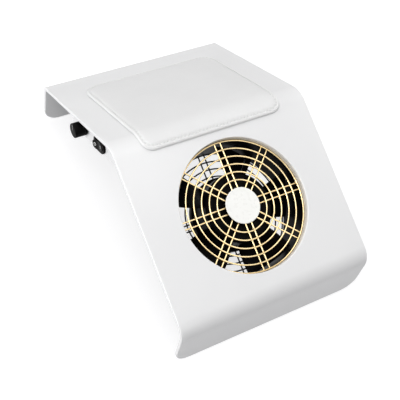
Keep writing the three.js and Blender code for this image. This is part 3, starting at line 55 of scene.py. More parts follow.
LOG = logging.getLogger("dust_collector")

Point = tuple[float, float]
Place = tuple[float, float, float]
Mesh = bpy.types.Mesh
Socket = bpy.types.NodeSocket


class Body(Enum):
    """The frame's bodies."""

    STAND = "stand"
    FAN = "fan_rotor"
    DIAL = "speed_dial"
    ROCKER = "power_rocker"


class Slot(Enum):
    """The record's material slots."""

    SHEET = "white_gloss"
    LEATHER = "white_leather"
    GASKET = "gasket_foam"
    GOLD_WIRE = "gold_wire"
    DISC = "ivory_disc"
    BLACK_WIRE = "black_wire"
    BLACK_PLASTIC = "black_plastic"
    BLACK_GLOSS = "black_gloss"
    STEEL = "steel"
    FERRITE = "ferrite"
    BRASS = "brass"
    COPPER = "copper"
    ALUMINIUM = "aluminium"
    BOARD = "board_green"
    CONNECTOR = "connector_ivory"
    SLEEVE = "lead_sleeve"


STAND = Body.STAND
CORNERS = ("left_front", "left_rear", "right_front", "right_rear")

# Mesh tools


def slid(x: float = 0.0, y: float = 0.0, z: float = 0.0) -> Matrix:
    """A matrix that moves along the axes."""
    return Matrix.Translation((x, y, z))


def turned(angle: float, axis: str) -> Matrix:
    """A matrix that turns about an axis."""
    return Matrix.Rotation(angle, 4, axis)


def reworked(mesh: Mesh, *steps: Callable[[bmesh.types.BMesh], object]) -> Mesh:
    """Runs steps of mesh work on a mesh in place.

    Args:
        mesh: The mesh.
        steps: Functions of the opened mesh.

    Returns:
        The same mesh.
    """
    form = bmesh.new()
    form.from_mesh(mesh)
    for step in steps:
        step(form)
    form.to_mesh(mesh)
    form.free()
    return mesh


def face_out(form: bmesh.types.BMesh) -> None:
    """Turns a closed surface's faces round if they point inwards."""
    if form.calc_volume(signed=True) < 0:
        bmesh.ops.reverse_faces(form, faces=form.faces)


def merge(form: bmesh.types.BMesh, reach: float = 2e-6) -> None:
    """Joins corners that lie within a reach in metres of each other."""
    bmesh.ops.remove_doubles(form, verts=form.verts, dist=reach)


def mesh_of(places: Iterable[Sequence[float]], faces: Iterable[Sequence[int]]) -> Mesh:
    """Makes a closed mesh with its faces turned outwards.

    Args:
        places: Corners.
        faces: Corner numbers of each face, which agree on their way round.

    Returns:
        The mesh.
    """
    mesh = bpy.data.meshes.new("form")
    mesh.from_pydata([tuple(place) for place in places], [], [tuple(face) for face in faces])
    mesh.validate()
    return reworked(mesh, face_out)


def flatten(form: bmesh.types.BMesh, turn: float = radians(0.5)) -> None:
    """Makes one face of faces that lie in one plane but for a small turn."""
    bmesh.ops.dissolve_limit(form, angle_limit=turn, verts=form.verts, edges=form.edges)


def shed(form: bmesh.types.BMesh) -> None:
    """Takes away corners without a face."""
    loose = [corner for corner in form.verts if not corner.link_faces]
    bmesh.ops.delete(form, geom=loose, context="VERTS")


def shown(data: bpy.types.ID, name: str = "work") -> bpy.types.Object:
    """Puts a mesh, a lamp or a camera in the scene as an object at the origin.

    Args:
        data: What the object shows.
        name: Name of the object.

    Returns:
        The object.
    """
    made = bpy.data.objects.new(name, data)
    bpy.context.scene.collection.objects.link(made)
    return made


def evaluated(work: bpy.types.Object) -> Mesh:
    """Turns an object with its modifiers into a plain mesh and removes the object.

    Args:
        work: The work object.

    Returns:
        The mesh that the modifiers gave.
    """
    depsgraph = bpy.context.evaluated_depsgraph_get()
    mesh = bpy.data.meshes.new_from_object(
        work.evaluated_get(depsgraph), preserve_all_data_layers=True, depsgraph=depsgraph)
    work.modifiers.clear()
    bpy.data.objects.remove(work)
    return mesh


def moved(mesh: Mesh, matrix: Matrix) -> Mesh:
    """Moves a mesh in place and gives it back."""
    mesh.transform(matrix)
    return mesh


def joined(*meshes: Mesh) -> Mesh:
    """Puts several meshes into a new one, each as it is.

    Args:
        meshes: The meshes.

    Returns:
        The new mesh.
    """
    form = bmesh.new()
    for mesh in meshes:
        form.from_mesh(mesh)
    made = bpy.data.meshes.new("joined")
    form.to_mesh(made)
    form.free()
    return made


def prism(outline: Sequence[Point], low: float, high: float) -> Mesh:
    """Pulls a flat outline up along Z.

    Args:
        outline: Points in order round the outline.
        low: Height of its lower face.
        high: Height of its upper face.

    Returns:
        The closed mesh.
    """
    count = len(outline)
    faces = [range(count)[::-1], range(count, 2 * count)]
    for here in range(count):
        after = (here + 1) % count
        faces.append((here, after, after + count, here + count))
    return mesh_of([(x, y, z) for z in (low, high) for x, y in outline], faces)


def across(outline: Sequence[Point], half: float) -> Mesh:
    """A side view of (y, z) points, pulled out along X to both sides of x = 0."""
    turn = Matrix(((0, 0, 1, 0), (1, 0, 0, 0), (0, 1, 0, 0), (0, 0, 0, 1)))
    return moved(prism(outline, -half, half), turn)


def block(low: Place, high: Place) -> Mesh:
    """A box between two corners, as a base or a cutter for other forms."""
    return prism([low[:2], (high[0], low[1]), high[:2], (low[0], high[1])], low[2], high[2])


def bar(radius: float, low: float, high: float, sides: int = 64) -> Mesh:
    """A round bar along Z, as a base or a cutter for other forms."""
    return prism(arc((0.0, 0.0), radius, 0.0, tau, sides)[:-1], low, high)


def ringed(rings: Sequence[Sequence[Place]]) -> Mesh:
    """Joins rings of points, one after the other, into a closed surface.

    Args:
        rings: Rings with one number of points, or with one point at a pole. Equal points become one.

    Returns:
        The closed mesh.
    """
    index: dict[Place, int] = {}
    numbered = [[index.setdefault(place, len(index)) for place in ring] for ring in rings]
    faces = []
    for low, high in zip(numbered, numbered[1:]):
        for here in range(max(len(low), len(high))):
            below = [low[corner % len(low)] for corner in (here, here + 1)]
            above = [high[corner % len(high)] for corner in (here + 1, here)]
            faces.append(list(dict.fromkeys([*below, *above])))
    return mesh_of(index, [face for face in faces if len(face) > 2])


def revolved(profile: Sequence[Point], segments: int = 96) -> Mesh:
    """Turns a profile about Z.

    Args:
        profile: Points as (radius, height). It starts and ends on the axis, or comes back to its start.
        segments: Steps round the axis.

    Returns:
        The closed mesh.
    """
    angles = [tau * step / segments for step in range(segments)]
    ways = [(cos(angle), sin(angle)) for angle in angles]
    return ringed([
        [(radius * x, radius * y, height) for x, y in ways] if radius else [(0.0, 0.0, height)]
        for radius, height in profile])


def closed_skins(layers: Sequence[Sequence[Sequence[float]]], columns: int) -> Mesh:
    """Closes two grids of points with a wall between their rims.

    Args:
        layers: Grids of equal size. The first and the last are the two skins. Of the others only the rim
            counts.
        columns: Points in each row of a grid.

    Returns:
        The closed mesh. The last skin's points come last in it.
    """
    area = len(layers[0])
    rows = area // columns
    rim = [*range(columns), *range(2 * columns - 1, area, columns)]
    rim += [*range(area - 2, area - columns - 1, -1), *range(area - 2 * columns, 0, -columns)]
    faces = []
    for start in range(0, area * (len(layers) - 1), area):
        for here, after in zip(rim, [*rim[1:], rim[0]]):
            faces.append((start + here, start + after, start + after + area, start + here + area))
    top = area * (len(layers) - 1)
    for row in range(rows - 1):
        for here in range(row * columns, row * columns + columns - 1):
            quad = (here, here + columns, here + columns + 1, here + 1)
            faces += [quad, tuple(top + corner for corner in reversed(quad))]
    return reworked(mesh_of([place for layer in layers for place in layer], faces), shed)


def at_four(solid: Mesh, half: Point, middle: Point = (0.0, 0.0)) -> list[Mesh]:
    """Copies of a solid at the corners of a rectangle with half sizes and a middle."""
    places = [(middle[0] + x, middle[1] + y) for x in (-half[0], half[0]) for y in (-half[1], half[1])]
    return [moved(solid.copy(), slid(*place)) for place in places]


def thread(
    radius: float, low: float, high: float, pitch: float = 0.7, depth: float = 0.22, sides: int = 20,
    rows_in_turn: int = 4,
) -> Mesh:
    """A screw thread along Z: one ridge that winds up round a rod.

    Args:
        radius: Outer radius.
        low: Lower end.
        high: Upper end.
        pitch: Rise of the ridge in one turn.
        depth: Depth of the groove.
        sides: Sides of the rod.
        rows_in_turn: Rows of points in one turn.

    Returns:
        The closed mesh.
    """
    rows = round(rows_in_turn * (high - low) / pitch)
    rings = [[(0.0, 0.0, low)]]
    for row in range(rows + 1):
        height = low + (high - low) * row / rows
        ring = []
        for share in [side / sides for side in range(sides)]:
            dip = 1.0 if row in (0, rows) else abs(2 * ((height / pitch - share) % 1.0) - 1)
            reach = radius - depth * dip
            ring.append((reach * cos(tau * share), reach * sin(tau * share), height))
        rings.append(ring)
    return ringed([*rings, [(0.0, 0.0, high)]])


@dataclass(frozen=True)
class PanScrew:
    """A pan-head screw with a cross recess. Its head lies under z = 0 and its thread rises above.

    The flat of the head, its upright rim and the reach and floor of the recess are shares of its radius or
    height, and so are the rounds of its face and shoulder.
    """

    radius: float = 1.3
    length: float = 11.0
    pitch: float = 0.9
    head: float = 2.8
    height: float = 1.8
    flat: float = 0.72
    rim: float = 0.55
    rounds: Point = (0.8, 0.4)
    burr: float = 0.12
    slot: float = 0.3
    slot_reach: float = 0.58
    slot_floor: float = 0.35

    def form(self) -> Mesh:
        """The screw.

        Returns:
            The mesh.
        """
        head, height, slot = self.head, self.height, self.slot
        profile = [(0.0, -height), (head * self.flat, -height), (head, -height * self.rim), (head, 0.0)]
        radii = [*(height * share for share in self.rounds), self.burr]
        pan = revolved(softened([*profile, (0.0, 0.0)], radii, steps=6), segments=48)
        reach, floor = head * self.slot_reach, -height * self.slot_floor
        arms = [block((-x, -y, -height - 1.0), (x, y, floor)) for x, y in ((reach, slot), (slot, reach))]
        return joined(carved(pan, [], arms), thread(self.radius, 0.0, self.length, self.pitch))


def arc(centre: Point, radius: float, start: float, sweep: float, steps: int) -> list[Point]:
    """Points along an arc, from its start angle over its sweep, both ends included."""
    angles = [start + sweep * step / steps for step in range(steps + 1)]
    return [(centre[0] + radius * cos(angle), centre[1] + radius * sin(angle)) for angle in angles]


def oblong(width: float, height: float, radius: float = 0.0, steps: int = 12) -> list[Point]:
    """Outline of a rectangle with round corners, with its middle at the origin.

    Args:
        width: Size along the first axis.
        height: Size along the second axis.
        radius: Radius of the corners, or nothing for two round ends.
        steps: Steps in each corner.

    Returns:
        The points, anticlockwise.
    """
    radius = radius or height / 2 - 0.01  # A short flat keeps the points of both ends apart
    right, top = width / 2 - radius, height / 2 - radius
    middles = ((right, top), (-right, top), (-right, -top), (right, -top))
    starts = [quarter * pi / 2 for quarter in range(4)]
    corners = [arc(middle, radius, start, pi / 2, steps) for middle, start in zip(middles, starts)]
    return [point for corner in corners for point in corner]


def softened(profile: Sequence[Point], radii: Sequence[float] | float, steps: int = 5) -> list[Point]:
    """Rounds the inner corners of an open line of points with arcs.

    Args:
        profile: The line.
        radii: Radius for each inner corner, or one for all of them.
        steps: Steps in each round.

    Returns:
        The line with its corners rounded, its two ends unchanged.
    """
    straight = 1e-3  # Turn, in radians, under which a corner stays as it is
    most = 0.49  # Share of a side that one round may take
    wanted = [radii] * (len(profile) - 2) if isinstance(radii, (int, float)) else radii
    points = [Vector(point) for point in profile]
    made = [profile[0]]
    for before, corner, after, radius in zip(points, points[1:], points[2:], wanted):
        back, on = before - corner, after - corner
        turn = pi - back.angle(on, pi)
        if not radius or not straight < turn < pi - straight:
            made.append(tuple(corner))
            continue
        trim = min(radius * tan(turn / 2), most * back.length, most * on.length)
        centre = corner + (back.normalized() + on.normalized()).normalized() * (trim / sin(turn / 2))
        spoke = corner + back.normalized() * trim - centre
        side = 1.0 if back.x * on.y - back.y * on.x < 0 else -1.0
        made += arc(centre, spoke.length, atan2(spoke.y, spoke.x), side * turn, steps)
    return [*made, profile[-1]]


def carved(base: Mesh, add: Iterable[Mesh], cut: Iterable[Mesh]) -> Mesh:
    """Joins solids to a base and then cuts others out of it.

    Args:
        base: The first solid.
        add: Solids that become one with it.
        cut: Solids that are taken away.

    Returns:
        The mesh of what is left.
    """
    work, tools = shown(base), []
    for operation, solids in (("UNION", add), ("DIFFERENCE", cut)):
        for solid in solids:
            tools.append(shown(solid, "tool"))
            step = work.modifiers.new("step", "BOOLEAN")
            step.operation, step.solver, step.object = operation, "EXACT", tools[-1]
    mesh = evaluated(work)
    for tool in tools:
        bpy.data.objects.remove(tool)
    return mesh


def smoothed(mesh: Mesh, angle: float = 30.0) -> Mesh:
    """Shades a mesh smooth but for its sharper edges.

    Args:
        mesh: The mesh, changed in place.
        angle: Least turn of a sharp edge, in degrees.

    Returns:
        The same mesh.
    """
    mesh.shade_smooth()
    mesh.set_sharp_from_angle(angle=radians(angle))
    return mesh


def eased(mesh: Mesh, width: float, segments: int = 2, angle: float = 35.0) -> Mesh:
    """Rounds the hard edges of a placed mesh and evens its shading.

    Args:
        mesh: The mesh, in metres.
        width: Width of the round, in millimetres.
        segments: Steps in the round.
        angle: Least turn of a hard edge, in degrees.

    Returns:
        The finished mesh.
    """
    reworked(mesh, merge).shade_smooth()
    work = shown(mesh)
    step = work.modifiers.new("round_edges", "BEVEL")
    step.width, step.segments, step.miter_outer = width * MILLIMETRE, segments, "MITER_ARC"
    step.limit_method, step.angle_limit = "ANGLE", radians(angle)
    even = work.modifiers.new("even_shading", "WEIGHTED_NORMAL")
    even.keep_sharp = True
    return evaluated(work)


# Node trees


class Tree:
    """Short calls that build a node tree."""

    def __init__(self, tree: bpy.types.NodeTree, prefix: str) -> None:
        """Takes a tree and the common first words of its own kinds of node."""
        self.nodes, self.links, self.prefix = tree.nodes, tree.links, prefix

    def out(
        self, kind: str, inputs: dict[str | int, object] | None = None, number: str | int = 0,
        **settings: object,
    ) -> Socket:
        """Adds a node.

        Args:
            kind: Kind of node, with or without the tree's common first words.
            inputs: Sockets or plain values for its inputs, by name or number.
            number: Which output is wanted.
            settings: Settings of the node itself.

        Returns:
            The wanted output.
        """
        made = self.nodes.new(kind if "Node" in kind else self.prefix + kind)
        for name, value in settings.items():
            setattr(made, name, value)
        for key, value in (inputs or {}).items():
            if isinstance(value, Socket):
                self.links.new(value, made.inputs[key])
            else:
                made.inputs[key].default_value = value
        return made.outputs[number] if made.outputs else made.inputs[0]

    def math(self, operation: str, first: object, second: object = 0.0) -> Socket:
        """Works out a number from one or two others."""
        return self.out("ShaderNodeMath", {0: first, 1: second}, operation=operation)

    def product(self, first: object, second: object) -> Socket:
        """Multiplies two numbers."""
        return self.math("MULTIPLY", first, second)

    def vector(self, x: object = 0.0, y: object = 0.0, z: object = 0.0) -> Socket:
        """Makes a vector of three numbers."""
        return self.out("ShaderNodeCombineXYZ", {0: x, 1: y, 2: z})

    def span(self, value: Socket, low: float, high: float, start: float = 0.3, end: float = 0.7) -> Socket:
        """Takes a value from the range of start to end to that of low to high, and keeps it there."""
        ends = {"Value": value, "From Min": start, "From Max": end, "To Min": low, "To Max": high}
        return self.out("ShaderNodeMapRange", ends)


class FormTree(Tree):
    """A geometry tree with named inputs."""

    def __init__(self, name: str) -> None:
        """Starts a tree with a geometry input and output.

        Args:
            name: Name of the tree.
        """
        self.tree = bpy.data.node_groups.new(name, "GeometryNodeTree")
        super().__init__(self.tree, "GeometryNode")
        self.entry, self.exit = self.nodes.new("NodeGroupInput"), self.nodes.new("NodeGroupOutput")
        self.tree.interface.new_socket("Form", in_out="OUTPUT", socket_type="NodeSocketGeometry")
        (self.start,) = self.inputs("Geometry", "Start")
        self.index = self.out("InputIndex")

    def inputs(self, kind: str, *names: str) -> list[Socket]:
        """Adds named inputs.

        Args:
            kind: Float, Int or Geometry.
            names: Their names.

        Returns:
            Their sockets.
        """
        for name in names:
            self.tree.interface.new_socket(name, in_out="INPUT", socket_type="NodeSocket" + kind)
        return [self.entry.outputs[name] for name in names]

    def circle(self, radius: object, sides: int) -> Socket:
        """A circle of so many sides."""
        return self.out("CurvePrimitiveCircle", {"Resolution": sides, "Radius": radius})

    def tube(self, path: Socket, radius: object, sides: int) -> Socket:
        """A closed tube along a curve."""
        return self.out("CurveToMesh", {0: path, 1: self.circle(radius, sides), "Fill Caps": True})

    def placed(self, form: Socket, translation: object = ORIGIN, rotation: object = ORIGIN) -> Socket:
        """A form moved and turned."""
        return self.out("Transform", {"Geometry": form, "Translation": translation, "Rotation": rotation})

    def together(self, *parts: Socket) -> Socket:
        """Joins geometries.

        Args:
            parts: The geometries.

        Returns:
            All of them.
        """
        made = self.nodes.new("GeometryNodeJoinGeometry")
        for part in parts:
            self.links.new(part, made.inputs[0])
        return made.outputs[0]

    def copies(self, points: Socket, shape: Socket, turn: object = ORIGIN, scale: object = EVEN) -> Socket:
        """Places a shape on points, turned and scaled, and makes the copies real."""
        inputs = {"Points": points, "Instance": shape, "Rotation": turn, "Scale": scale}
        return self.out("RealizeInstances", {0: self.out("InstanceOnPoints", inputs)})

    def round_axis(self, shape: Socket, count: object, first: object = 0.0) -> Socket:
        """Copies of a shape round Z at even angles, from a first angle on."""
        turn = self.math("ADD", first, self.product(self.index, self.math("DIVIDE", tau, count)))
        return self.copies(self.out("Points", {"Count": count}), shape, self.vector(z=turn))

    def run(self, form: Socket, finish: "Finish", mesh: Mesh | None = None, **values: float) -> Mesh:
        """Ends the tree with real copies in one finish, and runs it.

        Args:
            form: What the tree made.
            finish: The finish of all of it.
            mesh: What goes in, or nothing where the tree needs nothing.
            values: Values of the named inputs, in small letters with _ for each space.

        Returns:
            What the tree makes, as a plain mesh.
        """
        real = self.out("RealizeInstances", {0: self.out("SetShadeSmooth", {0: form})})
        dressed = self.out("SetMaterial", {"Geometry": real, "Material": finish.material()})
        self.links.new(dressed, self.exit.inputs[0])
        work = shown(mesh or bpy.data.meshes.new("start"))
        step = work.modifiers.new("form", "NODES")
        step.node_group = self.tree
        for item in self.tree.interface.items_tree:
            key = item.name.lower().replace(" ", "_")
            if item.in_out == "INPUT" and key in values:
                step[item.identifier] = values[key]
        return evaluated(work)


def round_axis(mesh: Mesh, finish: "Finish", count: int, first: float) -> Mesh:
    """Repeats a form round Z at even angles.

    Args:
        mesh: The form.
        finish: Its finish.
        count: Number of copies.
        first: Angle of the first one.

    Returns:
        The copies.
    """
    tree = FormTree("copies_round_axis")
    made = tree.round_axis(tree.start, *tree.inputs("Int", "Count"), *tree.inputs("Float", "First Angle"))
    return tree.run(made, finish, mesh, count=count, first_angle=first)


def at_corners(mesh: Mesh, finish: "Finish", width: float, length: float) -> Mesh:
    """Repeats a form at the four corners of a rectangle.

    Args:
        mesh: The form.
        finish: Its finish.
        width: Distance of two copies along X.
        length: Distance of two copies along Y.

    Returns:
        The copies.
    """
    tree = FormTree("copies_at_corners")
    sides = tree.inputs("Float", "Width", "Length")
    corners = tree.out("MeshGrid", {0: sides[0], 1: sides[1], 2: 2, 3: 2})
    return tree.run(tree.copies(corners, tree.start), finish, mesh, width=width, length=length)


class SurfaceTree(Tree):
    """A material's node tree. Its patterns read Object coordinates in metres."""

    def __init__(self, name: str) -> None:
        """Starts a material with one principled shader.

        Args:
            name: Name of the material.
        """
        self.material = bpy.data.materials.new(name)
        self.material.use_nodes = True
        super().__init__(self.material.node_tree, "ShaderNode")
        self.nodes.clear()
        self.shader = self.nodes.new("ShaderNodeBsdfPrincipled")
        self.out("OutputMaterial", {0: self.shader.outputs[0]})
        self.place = self.out("TexCoord", number="Object")

    def constant(self, **values: float) -> None:
        """Sets values that are the same all over on the shader's own sockets."""
        for name, value in values.items():
            self.shader.inputs[name.replace("_", " ")].default_value = value

    def noise(
        self, grain: float, detail: float = 3.0, roughness: float = 0.5, stretch: Place = EVEN,
    ) -> Socket:
        """A noise whose blotches are about so many millimetres wide.

        Args:
            grain: Width of a blotch, in millimetres.
            detail: Finer octaves.
            roughness: Share of each finer octave.
            stretch: Scale of the coordinates, below 1 where the pattern is drawn out.

        Returns:
            Its value, from 0 to 1.
        """
        place = self.place
        if stretch != EVEN:
            place = self.out("Mapping", {"Vector": self.place, "Scale": stretch})
        inputs = {"Vector": place, "Scale": 1 / (grain * MILLIMETRE), "Detail": detail}
        return self.out("TexNoise", {**inputs, "Roughness": roughness})

    def mixed(self, share: object, first: Place | Socket, second: Place | Socket) -> Socket:
        """Mixes two colours or colour sockets, by the share of the second."""
        ends = [value if isinstance(value, Socket) else (*value, 1.0) for value in (first, second)]
        return self.out("Mix", {0: share, 6: ends[0], 7: ends[1]}, 2, data_type="RGBA")

    def colour(self, share: object, first: Place | Socket, second: Place | Socket) -> None:
        """Gives the shader a mix of two colours as its colour."""
        self.links.new(self.mixed(share, first, second), self.shader.inputs["Base Color"])

    def gloss(self, value: Socket, low: float, high: float) -> None:
        """Gives the shader its roughness, from low to high as a pattern rises."""
        self.links.new(self.span(value, low, high), self.shader.inputs["Roughness"])

    def relief(self, *heights: tuple[Socket, float]) -> None:
        """Gives the shader its relief.

        Args:
            heights: Height patterns with their depths in millimetres.
        """
        normal = self.shader.inputs["Normal"]
        for height, depth in heights:
            inputs = {"Height": height, "Distance": depth * MILLIMETRE, "Strength": 1.0}
            if normal.links:
                inputs["Normal"] = normal.links[0].from_socket
            self.links.new(self.out("Bump", inputs), normal)


# Finishes


@dataclass(frozen=True)
class Finish:
    """A finish of one surface, with its record slot. Its material is made once."""

    name: str
    slot: Slot
    colour: Place

    def material(self) -> bpy.types.Material:
        """The material of this finish."""
        return bpy.data.materials.get(self.name) or self.made()

    def made(self) -> bpy.types.Material:
        """Makes the material."""
        surface = SurfaceTree(self.name)
        self.dress(surface)
        return surface.material

    def shade(self, factor: float) -> Place:
        """The main colour made lighter or darker by a factor, and kept below full white."""
        return tuple(min(channel * factor, 0.98) for channel in self.colour)

    def dress(self, surface: SurfaceTree) -> None:
        """Builds the finish in a material's tree, which each kind of finish does in its own way."""
        raise NotImplementedError


@dataclass(frozen=True)
class GlossSheet(Finish):
    """Polished cast sheet: near white, with a faint drift in tone, long waves and fine wiping marks."""

    roughness: float = 0.2
    tone: float = 0.975
    wave_depth: float = 0.03
    speck_depth: float = 0.0006

    def dress(self, surface: SurfaceTree) -> None:
        """Builds the finish.

        Args:
            surface: The tree of its material.
        """
        drift = surface.span(surface.noise(70, detail=2), 0, 1)
        surface.colour(drift, self.shade(self.tone), self.colour)
        smears = surface.noise(30, roughness=0.45, stretch=(1.0, 0.4, 0.4))
        surface.gloss(smears, self.roughness - 0.04, self.roughness + 0.06)
        waves, specks = surface.noise(60, detail=1), surface.noise(1.5, detail=1)
        surface.relief((waves, self.wave_depth), (specks, self.speck_depth))


@dataclass(frozen=True)
class MouldedPlastic(Finish):
    """Moulded plastic with spark-eroded grain, slight flow marks and a few lighter rubs."""

    roughness: float = 0.4
    depth: float = 0.01
    rub: float = 1.35
    flow_tone: float = 0.82
    shine: float = 0.16
    wave_depth: float = 0.02

    def dress(self, surface: SurfaceTree) -> None:
        """Builds the finish.

        Args:
            surface: The tree of its material.
        """
        flow = surface.noise(14, detail=4, roughness=0.6, stretch=(1.0, 1.0, 0.4))
        rubs = surface.span(surface.noise(5, detail=5, roughness=0.7), 0, 1, start=0.56, end=0.75)
        base = surface.mixed(surface.span(flow, 0, 1), self.shade(self.flow_tone), self.colour)
        surface.colour(rubs, base, self.shade(self.rub))
        surface.gloss(flow, self.roughness - 0.07, self.roughness + 0.09)
        surface.relief((surface.noise(0.35), self.depth), (surface.noise(18, detail=1), self.wave_depth))
        surface.constant(Specular_IOR_Level=self.shine)


@dataclass(frozen=True)
class GrainedLeather(Finish):
    """Artificial leather: small uneven pebbles, soft creases, and a seam whose stitches pull it in.

    The stitch's pull and the reach of its needle hole are distances from the seam in millimetres, from where
    they fade and to where they end.
    """

    pebble: float = 0.75
    stitch_pitch: float = 3.4
    drift_scale: float = 400.0
    drift_reach: float = 0.0006
    drift_tone: float = 0.965
    # The next two tones paint shade: darker pebble grooves and darker needle holes
    groove_shade_tone: float = 0.9
    hole_shade_tone: float = 0.88
    pull_reach: Point = (0.4, 2.6)
    hole_reach: Point = (0.25, 0.75)
    hole_share: Point = (-0.85, -0.35)

    def dress(self, surface: SurfaceTree) -> None:
        """Builds the finish.

        Args:
            surface: The tree of its material.
        """
        drift = surface.out("TexNoise", {"Vector": surface.place, "Scale": self.drift_scale}, 1)
        inputs = {0: drift, 1: (self.drift_reach,) * 3, 2: surface.place}
        bent = surface.out("VectorMath", inputs, operation="MULTIPLY_ADD")
        scale = 1 / (self.pebble * MILLIMETRE)
        cells = surface.out("TexVoronoi", {"Vector": bent, "Scale": scale}, feature="SMOOTH_F1")
        creases = surface.noise(7, detail=5, roughness=0.6, stretch=(0.6, 1.0, 1.0))
        base = surface.mixed(surface.span(surface.noise(40), 0, 1), self.shade(self.drift_tone), self.colour)
        # Painted shade: the colour darkens in the grooves between pebbles, where the relief sinks
        groove_shade = surface.span(cells, 0.0, 0.35, start=0.45, end=0.9)
        grain_and_groove_shade = surface.mixed(groove_shade, base, self.shade(self.groove_shade_tone))
        surface.gloss(creases, 0.42, 0.56)
        names = ("seam_run", "seam_side")
        along, away = (surface.out("Attribute", number="Fac", attribute_name=name) for name in names)
        wave = surface.math("COSINE", surface.product(along, tau / self.stitch_pitch))
        pull = surface.product(wave, surface.span(away, 1.0, 0.0, *self.pull_reach))
        near = surface.span(wave, 1.0, 0.0, *self.hole_share)
        hole = surface.product(near, surface.span(away, 1.0, 0.0, *self.hole_reach))
        # Painted shade: the needle holes are coloured darker than the leather round them
        surface.colour(hole, grain_and_groove_shade, self.shade(self.hole_shade_tone))
        surface.relief((cells, -0.035), (creases, 0.05), (surface.noise(30, detail=2), 0.15))
        surface.relief((pull, 0.13), (hole, -0.06))
        surface.constant(Specular_IOR_Level=0.4, Sheen_Weight=0.12, Sheen_Roughness=0.45)


@dataclass(frozen=True)
class PlatedWire(Finish):
    """Bright plated wire: fine drawing lines along it, and spots where the plating is thin and darker."""

    roughness: float = 0.22
    tone: float = 0.9
    thin: Place = (0.55, 0.32, 0.12)
    thin_share: float = 0.55

    def dress(self, surface: SurfaceTree) -> None:
        """Builds the finish.

        Args:
            surface: The tree of its material.
        """
        fine = surface.noise(0.5)
        base = surface.mixed(surface.span(fine, 0, 1), self.shade(self.tone), self.colour)
        spots = surface.noise(4, detail=4, roughness=0.6)
        spots = surface.span(spots, 0, self.thin_share, start=0.52, end=0.78)
        surface.colour(spots, base, self.thin)
        surface.gloss(surface.noise(1.6), self.roughness - 0.06, self.roughness + 0.12)
        surface.relief((fine, 0.006), (surface.noise(2.5, detail=2), 0.02))
        surface.constant(Metallic=1.0)


@dataclass(frozen=True)
class WorkedMetal(Finish):
    """Turned, rolled or cast metal with tool lines across one axis and dull patches."""

    roughness: float = 0.32
    metallic: float = 1.0
    line: float = 0.25
    dull_tone: float = 0.72

    def dress(self, surface: SurfaceTree) -> None:
        """Builds the finish.

        Args:
            surface: The tree of its material.
        """
        lines = surface.noise(self.line, roughness=0.6, stretch=(0.12, 1.0, 1.0))
        patches = surface.span(surface.noise(6, detail=4, roughness=0.6), 0, 1, start=0.4)
        surface.colour(patches, self.colour, self.shade(self.dull_tone))
        surface.gloss(lines, self.roughness - 0.08, self.roughness + 0.14)
        surface.relief((lines, 0.006), (surface.noise(3, detail=2), 0.02))
        surface.constant(Metallic=self.metallic)


@dataclass(frozen=True)
class Lacquer(Finish):
    """Baked lacquer with a fine orange-peel skin."""

    roughness: float = 0.28
    tone: float = 0.9
    shine: float = 0.3
    peel_depth: float = 0.008

    def dress(self, surface: SurfaceTree) -> None:
        """Builds the finish.

        Args:
            surface: The tree of its material.
        """
        surface.colour(surface.span(surface.noise(9), 0, 1), self.shade(self.tone), self.colour)
        surface.gloss(surface.noise(3), self.roughness - 0.05, self.roughness + 0.08)
        surface.relief((surface.noise(1.1, detail=2), self.peel_depth))
        surface.constant(Specular_IOR_Level=self.shine)


@dataclass(frozen=True)
class CellFoam(Finish):
    """Foam with visible cells, painted darker in their hollows as painted shade."""

    cell: float = 0.7
    drift_tone: float = 0.9
    hollow_shade_tone: float = 0.62
    depth: float = 0.12

    def dress(self, surface: SurfaceTree) -> None:
        """Builds the finish.

        Args:
            surface: The tree of its material.
        """
        scale = 1 / (self.cell * MILLIMETRE)
        cells = surface.out("TexVoronoi", {"Vector": surface.place, "Scale": scale})
        base = surface.mixed(surface.noise(12), self.shade(self.drift_tone), self.colour)
        # Painted shade: the colour darkens in the hollows of the cells
        hollow_shade = surface.span(cells, 1, 0, start=0.1, end=0.55)
        surface.colour(hollow_shade, base, self.shade(self.hollow_shade_tone))
        surface.gloss(surface.noise(2, detail=2), 0.78, 0.95)
        surface.relief((cells, -self.depth))
        surface.constant(Specular_IOR_Level=0.25)


@dataclass(frozen=True)
class TracedBoard(Finish):
    """Laminate with a grid of copper tracks under its green mask."""

    track: Place = (0.06, 0.24, 0.11)
    pitch: float = 2.5
    weave_tone: float = 0.88
    track_depth: float = 0.03
    weave_depth: float = 0.008

    def dress(self, surface: SurfaceTree) -> None:
        """Builds the finish.

        Args:
            surface: The tree of its material.
        """
        inputs = {
            "Vector": surface.place, "Scale": 1 / (self.pitch * MILLIMETRE), "Mortar Size": 0.16,
            "Mortar Smooth": 0.1, "Brick Width": 2.6, "Row Height": 1.0}
        tracks = surface.out("TexBrick", inputs, 1, offset=0.37)
        weave = surface.noise(0.45, detail=2)
        mask = surface.mixed(weave, self.shade(self.weave_tone), self.colour)
        surface.colour(tracks, self.track, mask)
        surface.gloss(weave, 0.36, 0.5)
        surface.relief((tracks, -self.track_depth), (weave, self.weave_depth))


@dataclass(frozen=True)
class SoftSleeve(Finish):
    """Soft lead covering: a dull skin with slight ripples and dust."""

    roughness: float = 0.62
    dust_tone: float = 2.2
    dust_share: float = 0.5

    def dress(self, surface: SurfaceTree) -> None:
        """Builds the finish.

        Args:
            surface: The tree of its material.
        """
        dust = surface.noise(6, detail=5, roughness=0.65)
        dust = surface.span(dust, 0, self.dust_share, start=0.5, end=0.8)
        surface.colour(dust, self.colour, self.shade(self.dust_tone))
        surface.gloss(surface.noise(3), self.roughness - 0.1, self.roughness + 0.12)
        surface.relief((surface.noise(0.9), 0.02), (surface.noise(0.25, detail=2), 0.006))
        surface.constant(Specular_IOR_Level=0.35)


